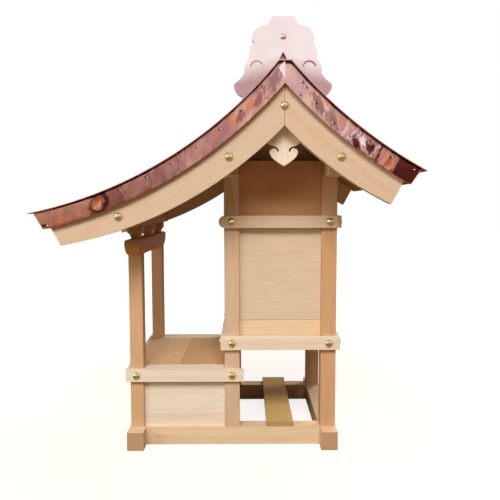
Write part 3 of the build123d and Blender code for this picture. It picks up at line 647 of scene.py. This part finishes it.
def copper(name, clean, film, rough=0.3, patch=26.0, bump=0.25, foot=None, rim=None):
    """Worked copper sheet: pink metal under a first mauve film, orange where heated, maroon where dulled, and
    on the bands pale painted highlight and maroon painted shade.

    Film is the film's share, and patch the size of its clouds in mm. Foot is the heights at which a painted
    mauve reflection of the roof begins and is full, and rim the faces painted dark as shade and not metallic,
    with their colour.
    """
    tones = bpy.context.scene.shrine_copper
    material, tree, shader = new_material(name)
    place = add(tree, "ShaderNodeTexCoord").outputs["Object"]
    drawn = add(tree, "ShaderNodeMapping", {"Vector": place, "Scale": FILM_DRAW}).outputs[0]
    clouds = add(tree, "ShaderNodeTexNoise", {
        "Vector": drawn, "Scale": 1 / (patch * MM), "Detail": 4.0, "Roughness": 0.62,
        "Distortion": FILM_WAVER / patch}).outputs["Fac"]
    blots = add(tree, "ShaderNodeTexNoise", {
        "Vector": place, "Scale": 1 / HEAT_BLOT, "Detail": 3.0, "Distortion": 1.6}).outputs["Fac"]
    filmed = add(tree, "ShaderNodeMapRange", {
        "Value": clouds, "From Min": 0.38, "From Max": 0.62, "To Max": film}).outputs[0]
    heated = add(tree, "ShaderNodeMapRange", {
        "Value": blots, "From Min": 0.6, "From Max": 0.72, "To Max": film}).outputs[0]
    layers = [(filmed, tones.mauve), (heated, tones.orange)]
    if foot:
        # Painted reflection of the roof: towards it the mauve deepens, along an uneven line that falls from
        # the ridge on both sides
        start, full = foot
        apart, height = off_ridge(tree, place)
        level = add(tree, "ShaderNodeMath", {0: apart, 1: FOOT_FALL, 2: height},
                    operation="MULTIPLY_ADD").outputs[0]
        wavy = add(tree, "ShaderNodeMath", {0: clouds, 1: FOOT_WAVE, 2: level},
                   operation="MULTIPLY_ADD").outputs[0]
        low = add(tree, "ShaderNodeMapRange", {
            "Value": wavy, "From Min": start, "From Max": full, "To Max": FOOT_REFLECTION}).outputs[0]
        layers.append((low, tones.mauve))
    # Only the bands and flaps carry these tones: pale painted highlight, orange, and maroon for tarnish with
    # painted shade and painted dark reflection. Elsewhere they read as nought
    for tone, laid in (("pale", tones.plate_and_highlight), ("warm", tones.orange), ("dull", tones.maroon)):
        layers.append((add(tree, "ShaderNodeAttribute", attribute_name=tone).outputs["Fac"], laid))
    tint = rgba(clean)
    for amount, laid in layers:
        tint = add(tree, "ShaderNodeMix", {FACTOR: amount, BELOW: tint, ABOVE: rgba(laid)},
                   data_type="RGBA").outputs[MIXED]
    # Painted shade: the rim faces get a dark colour and lose their metal
    if rim:
        faces, painted_shade_colour = rim
        way, least, most = PAINTED_SHADE_FACES[faces]
        normal = add(tree, "ShaderNodeNewGeometry").outputs["Normal"]
        turned = add(tree, "ShaderNodeVectorMath", {0: normal, 1: way},
                     operation="DOT_PRODUCT").outputs["Value"]
        if faces == "edges":
            turned = add(tree, "ShaderNodeMath", {0: turned}, operation="ABSOLUTE").outputs[0]
        clear = add(tree, "ShaderNodeMapRange", {
            "Value": turned, "From Min": least, "From Max": most}).outputs[0]
        tint = add(tree, "ShaderNodeMix", {FACTOR: clear, BELOW: rgba(painted_shade_colour), ABOVE: tint},
                   data_type="RGBA").outputs[MIXED]
        tree.links.new(clear, shader.inputs["Metallic"])
    else:
        shader.inputs["Metallic"].default_value = 1.0
    tree.links.new(tint, shader.inputs["Base Color"])
    roughness = add(tree, "ShaderNodeMapRange", {
        "Value": clouds, "To Min": rough - ROUGH_BELOW, "To Max": rough + ROUGH_ABOVE}).outputs[0]
    tree.links.new(roughness, shader.inputs["Roughness"])
    ripples = add(tree, "ShaderNodeTexNoise", {
        "Vector": place, "Scale": 1 / HAMMER_RIPPLE, "Detail": 2.0}).outputs["Fac"]
    relief = add(tree, "ShaderNodeBump", {"Height": ripples, "Strength": bump, "Distance": HAMMER_RELIEF})
    tree.links.new(relief.outputs[0], shader.inputs["Normal"])
    return material


def clamp(value):
    """Value kept between nought and one."""
    return max(0.0, min(1.0, value))


def bell(away, strength, sharpness, radius):
    """Strength that falls off on both sides of a radius."""
    return strength * math.exp(-(sharpness * (away - radius)) ** 2)


def swell(along, up, seed, shift, strength, long, tall, slant=0.0):
    """Smooth noise about nought at a place on a band."""
    return strength * noise.noise(Vector(((along + slant * up) / long, up / tall, seed + shift)))


def dent_distance(slope, along, up, seed):
    """Distance from the dent in its own size."""
    if slope.side == BACK_SIDE:
        return FAR_OFF
    return math.hypot(along - DENT_REACH, up - DENT_LIFT) / DENT_SIZE + swell(along, up, seed, *DENT_OUTLINE)


def past_lap(slope, along, up):
    """How far past the lap of its band's two lengths a place is."""
    foot, lean = LAPS[slope.side]
    return along - foot - lean * up


def crease(along, up, tone):
    """How strongly the back band's creases of one tone pass through a place."""
    through = 0.0
    bend = swell(along, up, 0, *CREASE_BEND)
    for name, foot, lean, half, strength in CREASES:
        if name == tone:
            through += strength * clamp(FADED - abs(along - foot - lean * up + bend) / half)
    return min(1.0, through)


def band_relief(slope, along, up, wrinkle, side):
    """How far the hand-fitted band stands off its mean face at a place, in metres."""
    seed = 7.0 * slope.side + 3.0 * side
    out = wrinkle * sum(swell(along, up, seed, *ripple) for ripple in RIPPLES)
    if slope.side == BACK_SIDE:
        start, end = CRUMPLE
        inside = clamp(min(along - start, end - along) / CRUMPLE_ONSET)
        folds = CRUMPLE_FOLD_HEIGHT * (0.5 - abs(swell(along, up, seed, *CRUMPLE_FOLDS)))
        out += inside * wrinkle * (folds + swell(along, up, seed, *CRUMPLE_SWELLS))
        raised = crease(along, up, "pale") + crease(along, up, "warm")
        out += CREASE_HEIGHT * (raised - crease(along, up, "dull"))
    away = dent_distance(slope, along, up, seed)
    out += DENT_HEIGHT * (bell(away, *DENT_RIM) - bell(away, *DENT_HOLLOW))
    if past_lap(slope, along, up) > 0:
        out += LAP_HEIGHT
    return out


def band_tarnish_and_shade(slope, along, up, seed):
    """How much maroon a place on the band shows, apart from its spots and creases: mottled tarnish, with
    painted shade and painted dark reflection.
    """
    amount = max(0.0, swell(along, up, seed, *MOTTLE))
    if slope.side == BACK_SIDE:
        # Painted dark reflection on the back band past its lap
        amount += LAP_DARK_REFLECTION * clamp(past_lap(slope, along, up) / LAP_ONSET)
    # Painted shade in a dark ring round the dent
    amount += bell(dent_distance(slope, along, up, seed), *DENT_RING_SHADE)
    # Painted shadow: the top of the band is drawn dark where the sheet and the strip above shade it
    below_sheet = ROOF_THICKNESS / MM - up
    below_strip = (STRIP_UNDERSIDE - slope.height(along * MM, up * MM)) / MM
    amount += clamp((SHEET_SHADE - below_sheet) / SHADE_FADE)
    amount += clamp((STRIP_SHADE - below_strip) / SHADE_FADE)
    # Painted shade of a dimple beside each nail
    aside, above, half, strength = NAIL_DIMPLE_SHADE
    for reach, lift in NAILS[slope.side]:
        amount += strength * clamp(FADED - math.hypot(along - reach - aside, up - lift - above) / half)
    return amount


def band_tone(slope, tone, along, up, side):
    """How strongly a place on the band shows one tone, from nought to one."""
    seed = 4.0 * slope.side + side
    amount = 0.0
    if tone == "dull":
        amount = band_tarnish_and_shade(slope, along, up, seed)
    elif tone == "pale":
        # Painted highlight near the ridge
        amount = RIDGE_HIGHLIGHT * clamp(1 - along / RIDGE_HIGHLIGHT_REACH[slope.side])
    elif slope.side == FRONT_SIDE:
        amount = EAVE_WARMTH * clamp((along - EAVE_START) / EAVE_LENGTH)
    # Where spots overlap, the stronger one shows
    strongest = 0.0
    for name, reach, lift, size, strength in BAND_SPOTS[slope.side]:
        if name == tone:
            away = math.hypot(along - reach, up - lift) / size + swell(along, up, seed, *SPOT_OUTLINE)
            strongest = max(strongest, strength * clamp(SPOT_GROWTH * (SPOT_FADED - away)))
    amount += strongest
    # Pale creases carry painted highlight, the maroon one painted shade
    if slope.side == BACK_SIDE:
        amount += crease(along, up, tone)
        if tone == "dull":
            amount *= 1 - max(crease(along, up, "pale"), crease(along, up, "warm"))
    return min(1.0, amount)


def band_rows(made, slope, side, wrinkle, layers):
    """Rows of points on one band's rippled face, with their tones, and on its flat back."""
    columns = BAND_COLUMNS[slope.side]
    face, back = [], []
    for j in range(BAND_ROWS + 1):
        lift = ROOF_THICKNESS * j / BAND_ROWS
        start, end = slope.start(lift), slope.eave(lift)
        outer, inner = [], []
        for i in range(columns + 1):
            reach = start + (end - start) * i / columns
            along, up = reach / MM, lift / MM
            # The relief fades at the rim, where the sheet is nailed down
            rim = min(1.0, RIM_RISE * min(i, columns - i) / columns, RIM_LEAST + min(j, BAND_ROWS - j) / 2)
            out = max(BAND_LEAST, BAND_OUT + rim * band_relief(slope, along, up, wrinkle, side))
            v = made.verts.new(slope.place(side * (VERGE + out), reach, lift))
            for tone, layer in layers.items():
                v[layer] = band_tone(slope, tone, along, up, side)
            outer.append(v)
            inner.append(made.verts.new(slope.place(side * (VERGE + BAND_SEAT), reach, lift)))
        face.append(outer)
        back.append(inner)
    return face, back


def band_mesh(name, wrinkle, material):
    """Rippled copper bands on both gable edges of both slopes."""
    made = bmesh.new()
    for tone in BAND_TONES:
        made.verts.layers.float.new(tone)
    layers = {tone: made.verts.layers.float[tone] for tone in BAND_TONES}
    for side in SIDES:
        for slope in (FRONT, BACK):
            face, back = band_rows(made, slope, side, wrinkle, layers)
            for grid in (face, back):
                for lower, upper in zip(grid, grid[1:]):
                    for i in range(BAND_COLUMNS[slope.side]):
                        quad = made.faces.new((lower[i], lower[i + 1], upper[i + 1], upper[i]))
                        quad.smooth = grid is face
            rims = [(face[end], back[end]) for end in (0, -1)]
            rims += [([row[end] for row in face], [row[end] for row in back]) for end in (0, -1)]
            for outer, inner in rims:
                for i in range(len(outer) - 1):
                    made.faces.new((outer[i], outer[i + 1], inner[i + 1], inner[i]))
    bmesh.ops.recalc_face_normals(made, faces=made.faces)
    for edge in made.edges:
        edge.smooth = edge.calc_face_angle(0.0) < FOLD_ANGLE
    return mesh_of(made, name, material)


def flap_mesh(name, material):
    """Corner of the back band folded over the front one at each gable's peak."""
    made = bmesh.new()
    pale = made.verts.layers.float.new("pale")
    for side in SIDES:
        rows = []
        for out in (FLAP_SEAT, FLAP_SEAT + FLAP_SHEET):
            row = []
            for reach, lift, curl in FLAP_CORNERS:
                v = made.verts.new(FRONT.place(side * (VERGE + (out + curl) * MM), reach * MM, lift * MM))
                v[pale] = FLAP_HIGHLIGHT
                row.append(v)
            rows.append(row)
        made.faces.new(rows[0])
        made.faces.new(rows[1])
        for i in range(len(FLAP_CORNERS)):
            k = (i + 1) % len(FLAP_CORNERS)
            made.faces.new((rows[0][i], rows[0][k], rows[1][k], rows[1][i]))
    bmesh.ops.recalc_face_normals(made, faces=made.faces)
    return mesh_of(made, name, material)


class SHRINE_OT_copper_roof(bpy.types.Operator):
    """Puts worked copper on the roof sheets and ridge box, and fits the rippled verge bands"""
    bl_idname = "shrine.copper_roof"
    bl_label = "Copper roof"

    def execute(self, context):
        kit = context.scene.shrine_copper
        # The sheets' undersides are drawn dark, painted shade under their overhang
        sheet = copper("copper_roof_sheet", kit.bright, 0.32, rough=0.36, patch=80.0, bump=0.1,
                       rim=("undersides", kit.rim))
        give(sheet, "front_copper_sheet", "back_copper_sheet", "ridge_box")
        give(copper("copper_ridge_cap", kit.head, 0.2, rough=0.3, patch=60.0, bump=0.1), "ridge_strip")
        band = copper("copper_verge_band", kit.bright, 0.85, rough=0.22)
        give(band, "eave_bands")
        mesh = band_mesh("verge_band_copper", kit.wrinkle, band)
        finish_piece("verge_band_copper", mesh, "copper_sheet", "verge_bands")
        finish_piece("peak_flaps", flap_mesh("peak_flaps", band), "copper_sheet")
        return {"FINISHED"}


# Raised curls on the ridge plates' lobes: wire, radius, start and turn in degrees, place on a lobe, and seat
CURL_WIRE = 1.4 * MM
CURL_RADIUS = 9 * MM
CURL_START, CURL_TURN = 165, -150
CURL_ASIDE = 35 * MM
CURL_BELOW = 67 * MM
CURL_SEAT = 0.05 * MM
CURL_STEPS = 14
CURL_FACETS = 3


class SHRINE_OT_ridge_plates(bpy.types.Operator):
    """Gives the ridge plates near-white copper, a painted reflection, and raises the curls on their lower
    lobes
    """
    bl_idname = "shrine.ridge_plates"
    bl_label = "Ridge plates"

    def execute(self, context):
        kit = context.scene.shrine_copper
        # Near-white plates, a painted reflection, with a painted mauve reflection of the roof at their foot
        # and painted shade on their edges
        plate_and_highlight = copper("copper_ridge_plate", kit.plate_and_highlight, 0.1, rough=0.18, patch=48.0, bump=0.05, foot=LOBE_REFLECTION,
                       rim=("edges", kit.edge))
        give(plate_and_highlight, "ridge_plates")
        curls = bpy.data.curves.new("ridge_plate_curls", "CURVE")
        curls.dimensions = "3D"
        curls.bevel_depth = CURL_WIRE
        curls.bevel_resolution = CURL_FACETS
        curls.use_fill_caps = True
        for side in SIDES:
            for lobe in SIDES:
                spline = curls.splines.new("NURBS")
                spline.points.add(CURL_STEPS)
                for i, point in enumerate(spline.points):
                    angle = math.radians(CURL_START + CURL_TURN * (i / CURL_STEPS))
                    aside = CURL_ASIDE - CURL_RADIUS * math.cos(angle)
                    z = PLATE_TOP - CURL_BELOW + CURL_RADIUS * math.sin(angle)
                    point.co = (side * (PLATE_FACE + CURL_SEAT), RIDGE_Y + lobe * aside, z, 1)
                spline.order_u = 3
                spline.use_endpoint_u = True
        mesh = made_plain(bpy.data.objects.new("ridge_plate_curls", curls))
        for face in mesh.polygons:
            face.use_smooth = True
        mesh.materials.clear()
        # The curls show full mauve film, darker than the plate, a painted shade line along the emboss
        mesh.materials.append(copper("copper_curl", kit.plate_and_highlight, 1.0, rough=0.3, bump=0.0))
        finish_piece("ridge_plate_curls", mesh, "copper_sheet")
        return {"FINISHED"}


# Heads of tacks and nails

# Facing out of the right-hand gable
RIGHT = (1, 0, 0)
# How finely a head is drawn
HEAD_SEGMENTS, HEAD_RINGS = 20, 12

# Tacks on the posts along the side rails, and on the front and back rails with the side that these face
SIDE_TACKS = {
    "upper_side_rails": (FRONT_POST_Y, BACK_POST_Y),
    "floor_side_rails": (FRONT_POST_Y, BACK_POST_Y),
    "porch_side_rails": (PORCH_POST_Y, FRONT_POST_Y),
}
END_TACKS = [
    ("porch_front_rail", PORCH_POST_X, FRONT_SIDE), ("floor_front_rail", BODY_POST_X, FRONT_SIDE),
    ("floor_back_rail", BODY_POST_X, BACK_SIDE), ("upper_back_rail", BODY_POST_X, BACK_SIDE),
]
# Tacks on the bargeboards: back from the body's front face, and height, in mm
BARGE_TACKS = [(-134.5, 341.5), (10, 418.5), (82, 484), (156, 418.5)]
# Size of the worn spots on a tack
BRASS_WEAR = 2.5 * MM

# Copper nails: off the verge, and height of the head
NAIL_SEAT = 1.1 * MM
NAIL_HEIGHT = 1.4 * MM
# Rivet on each ridge plate: below the plate's top, across and height
RIVET_BELOW = 26 * MM
RIVET = 9 * MM
RIVET_HEIGHT = 2.6 * MM


def head_tree(name):
    """Geometry Nodes that set a domed head on each point, facing the way the point says."""
    tree = bpy.data.node_groups.new(name, "GeometryNodeTree")
    sockets = {}
    for label, kind in (("Points", "NodeSocketGeometry"), ("Diameter", "NodeSocketFloat"),
                        ("Height", "NodeSocketFloat"), ("Material", "NodeSocketMaterial")):
        sockets[label] = tree.interface.new_socket(label, in_out="INPUT", socket_type=kind).identifier
    tree.interface.new_socket("Heads", in_out="OUTPUT", socket_type="NodeSocketGeometry")
    given = add(tree, "NodeGroupInput").outputs
    ball = add(tree, "GeometryNodeMeshUVSphere", {
        "Segments": HEAD_SEGMENTS, "Rings": HEAD_RINGS, "Radius": 0.5}).outputs["Mesh"]
    # The lower half is pressed flat, which leaves a closed dome with a flat seat
    spot = add(tree, "ShaderNodeSeparateXYZ", {0: add(tree, "GeometryNodeInputPosition").outputs[0]}).outputs
    lifted = add(tree, "ShaderNodeMath", {0: spot["Z"], 1: 0.0}, operation="MAXIMUM").outputs[0]
    pressed = add(tree, "ShaderNodeCombineXYZ", {"X": spot["X"], "Y": spot["Y"], "Z": lifted}).outputs[0]
    dome = add(tree, "GeometryNodeSetPosition", {"Geometry": ball, "Position": pressed}).outputs[0]
    tall = add(tree, "ShaderNodeMath", {0: given["Height"], 1: 2.0}, operation="MULTIPLY").outputs[0]
    size = add(tree, "ShaderNodeCombineXYZ", {
        "X": given["Diameter"], "Y": given["Diameter"], "Z": tall}).outputs[0]
    sized = add(tree, "GeometryNodeTransform", {"Geometry": dome, "Scale": size}).outputs[0]
    smooth = add(tree, "GeometryNodeSetShadeSmooth", {"Geometry": sized}).outputs[0]
    facing = add(tree, "GeometryNodeInputNamedAttribute", {"Name": "facing"},
                 data_type="FLOAT_VECTOR").outputs["Attribute"]
    turn = add(tree, "FunctionNodeAlignRotationToVector", {"Vector": facing}, axis="Z").outputs[0]
    heads = add(tree, "GeometryNodeInstanceOnPoints", {
        "Points": given["Points"], "Instance": smooth, "Rotation": turn}).outputs[0]
    real = add(tree, "GeometryNodeRealizeInstances", {"Geometry": heads}).outputs[0]
    finished = add(tree, "GeometryNodeSetMaterial", {
        "Geometry": real, "Material": given["Material"]}).outputs[0]
    add(tree, "NodeGroupOutput", {"Heads": finished})
    return tree, sockets


def set_heads(name, places, diameter, height, material):
    """Domed heads at (place, facing) pairs, as one piece."""
    points = bpy.data.meshes.new(name + "_points")
    points.from_pydata([place for place, _ in places], [], [])
    facing = points.attributes.new("facing", "FLOAT_VECTOR", "POINT")
    for item, (_, way) in zip(facing.data, places):
        item.vector = way
    maker = bpy.data.objects.new(name + "_points", points)
    tree, sockets = head_tree(name + "_nodes")
    modifier = maker.modifiers.new("Heads", "NODES")
    modifier.node_group = tree
    modifier[sockets["Diameter"]] = diameter
    modifier[sockets["Height"]] = height
    modifier[sockets["Material"]] = material
    mesh = made_plain(maker)
    if not mesh.polygons:
        raise RuntimeError(f"{name}: no heads were made")
    mesh.name = name
    finish_piece(name, mesh, "copper_sheet")


def both_sides(places):
    """The places on the right half and their mirror images, each followed by its own."""
    pairs = []
    for place, way in places:
        for mirror in (Vector((1, 1, 1)), Vector((-1, 1, 1))):
            pairs.append((mirror * Vector(place), mirror * Vector(way)))
    return pairs


def polished_brass(kit):
    """Stamped brass, polished: yellow with a green cast, clear reflections and a few duller spots."""
    material, tree, shader = new_material("polished_brass")
    place = add(tree, "ShaderNodeTexCoord").outputs["Object"]
    wear = add(tree, "ShaderNodeTexNoise", {
        "Vector": place, "Scale": 1 / BRASS_WEAR, "Detail": 2.0}).outputs["Fac"]
    tint = add(tree, "ShaderNodeMix", {FACTOR: wear, BELOW: rgba(kit.brass), ABOVE: rgba(kit.shade)},
               data_type="RGBA").outputs[MIXED]
    tree.links.new(tint, shader.inputs["Base Color"])
    rough = add(tree, "ShaderNodeMapRange", {"Value": wear, "To Min": 0.1, "To Max": 0.24}).outputs[0]
    tree.links.new(rough, shader.inputs["Roughness"])
    shader.inputs["Metallic"].default_value = 1.0
    return material


class SHRINE_OT_brass_tacks(bpy.types.Operator):
    """Sets the domed brass tacks on the rails and bargeboards"""
    bl_idname = "shrine.brass_tacks"
    bl_label = "Brass tacks"

    def execute(self, context):
        kit = context.scene.shrine_brass
        places = []
        for node, posts in SIDE_TACKS.items():
            places += [((RAIL_FACE, y, middle(node, Z)), RIGHT) for y in posts]
        places += [((BARGE_FACE, BODY_FRONT + back * MM, height * MM), RIGHT) for back, height in BARGE_TACKS]
        for node, x, side in END_TACKS:
            low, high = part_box(node)
            y = low.y if side == FRONT_SIDE else high.y
            places.append(((x, y, middle(node, Z)), (0, side, 0)))
        set_heads("brass_tacks", both_sides(places), kit.tack, kit.dome, polished_brass(kit))
        return {"FINISHED"}


class SHRINE_OT_copper_nails(bpy.types.Operator):
    """Sets the copper nails along the verge bands and the rivets on the ridge plates"""
    bl_idname = "shrine.copper_nails"
    bl_label = "Copper nails"

    def execute(self, context):
        kit = context.scene.shrine_copper
        material = copper("copper_nail", kit.head, 0.0, rough=0.16, bump=0.0)
        nails = [(slope.place(VERGE + NAIL_SEAT, reach * MM, lift * MM), RIGHT)
                 for slope in (FRONT, BACK) for reach, lift in NAILS[slope.side]]
        set_heads("copper_nails", both_sides(nails), kit.nail, NAIL_HEIGHT, material)
        rivet = [((PLATE_FACE, RIDGE_Y, PLATE_TOP - RIVET_BELOW), RIGHT)]
        set_heads("ridge_plate_rivets", both_sides(rivet), RIVET, RIVET_HEIGHT, material)
        return {"FINISHED"}


# Stage, in metres

FLOOR_HALF = 6.0
# To the camera the floor whitens from the first distance to the second, beginning at this strength
FLOOR_NEAR, FLOOR_FAR = 0.3, 0.9
FLOOR_START = 0.82

# Card: where it stands along X, and its low and high corners along Y and Z
CARD_X = 2.2
CARD = ((-1.6, 0.14), (1.6, 0.54))

# Lamps: name, setting of its power, place, aim, width, height, and whether polished metal mirrors it.
# The roof would mirror the two high ones as burnt-out patches
LAMPS = [
    ("key_lamp", "key", (3.2, -0.1, 3.5), (0.1, 0, 0.3), 2.8, 1.6, False),
    ("fill_lamp", "fill", (1.8, -2.6, 1.1), (0, -0.1, 0.2), 1.5, 1.5, True),
    ("rear_lamp", "rear", (-2.2, 1.8, 3.6), (0, 0.05, 0.3), 1.6, 1.6, False),
]

# Camera fitted to the view: place from the body's front face, how it is turned, focal length over the
# sensor's width, and that width in mm
CAMERA_PLACE = (903.6 * MM, 32.5 * MM, 355.3 * MM)
CAMERA_YAW, CAMERA_PITCH, CAMERA_ROLL = (math.radians(a) for a in (0.37, 4.6, -0.07))
CAMERA_FOCAL_SHARE = 1.1
SENSOR = 36.0


def stage_sheet(name, corners, material):
    """Flat sheet between four corners that isn't part of the shrine."""
    mesh = bpy.data.meshes.new(name)
    mesh.from_pydata(corners, [], [(0, 1, 2, 3)])
    mesh.materials.append(material)
    sheet = bpy.data.objects.new(name, mesh)
    bpy.context.scene.collection.objects.link(sheet)
    return sheet


def studio_floor(kit):
    """Matt floor that throws light back in its own colour, and is white to the camera but for the shadow."""
    material, tree, shader = new_material("studio_floor")
    shader.inputs["Base Color"].default_value = rgba(kit.floor)
    shader.inputs["Roughness"].default_value = 0.9
    shader.inputs["Specular IOR Level"].default_value = 0.0
    shader.inputs["Emission Color"].default_value = WHITE
    rays = add(tree, "ShaderNodeLightPath").outputs
    place = add(tree, "ShaderNodeTexCoord").outputs["Object"]
    away = add(tree, "ShaderNodeVectorMath", {0: place}, operation="LENGTH").outputs["Value"]
    whiten = add(tree, "ShaderNodeMapRange", {
        "Value": away, "From Min": FLOOR_NEAR, "From Max": FLOOR_FAR, "To Min": FLOOR_START}).outputs[0]
    glow = add(tree, "ShaderNodeMath", {0: rays["Is Camera Ray"], 1: whiten}, operation="MULTIPLY").outputs[0]
    tree.links.new(glow, shader.inputs["Emission Strength"])
    corners = [(-FLOOR_HALF, -FLOOR_HALF, 0), (FLOOR_HALF, -FLOOR_HALF, 0), (FLOOR_HALF, FLOOR_HALF, 0),
               (-FLOOR_HALF, FLOOR_HALF, 0)]
    stage_sheet("studio_floor", corners, material)


def studio_world(scene, kit):
    """Even, tinted light from all round, where the camera and polished metal see plain white."""
    world = bpy.data.worlds.new("studio_world")
    scene.world = world
    world.use_nodes = True
    tree = world.node_tree
    tree.nodes.clear()
    rays = add(tree, "ShaderNodeLightPath").outputs
    clear = add(tree, "ShaderNodeMath", {0: rays["Is Glossy Ray"], 1: rays["Is Transmission Ray"]},
                operation="MAXIMUM").outputs[0]
    seen = add(tree, "ShaderNodeMath", {0: rays["Is Camera Ray"], 1: clear}, operation="MAXIMUM").outputs[0]
    strength = add(tree, "ShaderNodeMapRange", {"Value": seen, "To Min": kit.ambient}).outputs[0]
    tint = add(tree, "ShaderNodeMix", {FACTOR: seen, BELOW: rgba(kit.glow), ABOVE: WHITE},
               data_type="RGBA").outputs[MIXED]
    sky = add(tree, "ShaderNodeBackground", {"Color": tint, "Strength": strength})
    add(tree, "ShaderNodeOutputWorld", {"Surface": sky.outputs[0]})


def mirror_card(kit):
    """Plain card that shows only in polished metal, so that the bands don't mirror bare white."""
    material, _, shader = new_material("mirror_card")
    shader.inputs["Base Color"].default_value = BLACK
    shader.inputs["Specular IOR Level"].default_value = 0.0
    shader.inputs["Emission Color"].default_value = rgba(kit.card)
    shader.inputs["Emission Strength"].default_value = 1.0
    (y0, z0), (y1, z1) = CARD
    corners = [(CARD_X, y0, z0), (CARD_X, y1, z0), (CARD_X, y1, z1), (CARD_X, y0, z1)]
    card = stage_sheet("mirror_card", corners, material)
    card.visible_camera = False
    card.visible_diffuse = False
    card.visible_shadow = False
    card.visible_transmission = False


def soft_lamps(scene, kit):
    """Three large rectangular lamps."""
    for name, setting, place, aim, wide, tall, mirrored in LAMPS:
        lamp = bpy.data.lights.new(name, "AREA")
        lamp.shape = "RECTANGLE"
        lamp.energy = getattr(kit, setting)
        lamp.size = wide
        lamp.size_y = tall
        stand = bpy.data.objects.new(name, lamp)
        stand.location = place
        stand.rotation_euler = (Vector(aim) - Vector(place)).to_track_quat("-Z", "Y").to_euler()
        stand.visible_glossy = mirrored
        scene.collection.objects.link(stand)


def gable_camera(scene):
    """Camera that looks at the right-hand gable side."""
    x, y, z = CAMERA_PLACE
    level = math.cos(CAMERA_PITCH)
    forward = Vector((-math.cos(CAMERA_YAW) * level, math.sin(CAMERA_YAW) * level, -math.sin(CAMERA_PITCH)))
    right = forward.cross(Vector((0, 0, 1))).normalized()
    up = right.cross(forward)
    turn = Matrix((right, up, -forward)).transposed() @ Matrix.Rotation(CAMERA_ROLL, 3, "Z")
    data = bpy.data.cameras.new("gable_camera")
    data.sensor_width = SENSOR
    data.lens = SENSOR * CAMERA_FOCAL_SHARE
    camera = bpy.data.objects.new("gable_camera", data)
    camera.matrix_world = Matrix.Translation((x, y + BODY_FRONT, z)) @ turn.to_4x4()
    scene.collection.objects.link(camera)
    scene.camera = camera


class SHRINE_OT_stage(bpy.types.Operator):
    """Sets the floor, the soft lamps and the camera"""
    bl_idname = "shrine.stage"
    bl_label = "Stage"

    def execute(self, context):
        scene = context.scene
        kit = scene.shrine_stage
        scene.view_settings.view_transform = "Standard"
        studio_floor(kit)
        studio_world(scene, kit)
        mirror_card(kit)
        soft_lamps(scene, kit)
        gable_camera(scene)
        return {"FINISHED"}


class SHRINE_PT_panel(bpy.types.Panel):
    """Lists the steps of the finish"""
    bl_label = "Shrine"
    bl_idname = "SHRINE_PT_panel"
    bl_space_type = "VIEW_3D"
    bl_region_type = "UI"
    bl_category = "Shrine"

    def draw(self, context):
        for operator in OPERATORS:
            self.layout.operator(operator.bl_idname)
        for name in GROUPS:
            group = getattr(context.scene, name)
            for key in group.__annotations__:
                self.layout.prop(group, key)


GROUPS = {"shrine_wood": ShrineWood, "shrine_copper": ShrineCopper, "shrine_brass": ShrineBrass,
          "shrine_stage": ShrineStage}
OPERATORS = (SHRINE_OT_timber, SHRINE_OT_boards, SHRINE_OT_trim, SHRINE_OT_copper_roof,
             SHRINE_OT_ridge_plates, SHRINE_OT_brass_tacks, SHRINE_OT_copper_nails, SHRINE_OT_stage)


def register():
    for made in (*GROUPS.values(), *OPERATORS, SHRINE_PT_panel):
        bpy.utils.register_class(made)
    for name, group in GROUPS.items():
        setattr(bpy.types.Scene, name, PointerProperty(type=group))


def unregister():
    for name in GROUPS:
        delattr(bpy.types.Scene, name)
    for made in (SHRINE_PT_panel, *reversed(OPERATORS), *GROUPS.values()):
        bpy.utils.unregister_class(made)


def main():
    register()
    bpy.ops.shrine.timber()
    bpy.ops.shrine.boards()
    bpy.ops.shrine.trim()
    bpy.ops.shrine.copper_roof()
    bpy.ops.shrine.ridge_plates()
    bpy.ops.shrine.brass_tacks()
    bpy.ops.shrine.copper_nails()
    bpy.ops.shrine.stage()


if __name__ == "__main__":
    main()
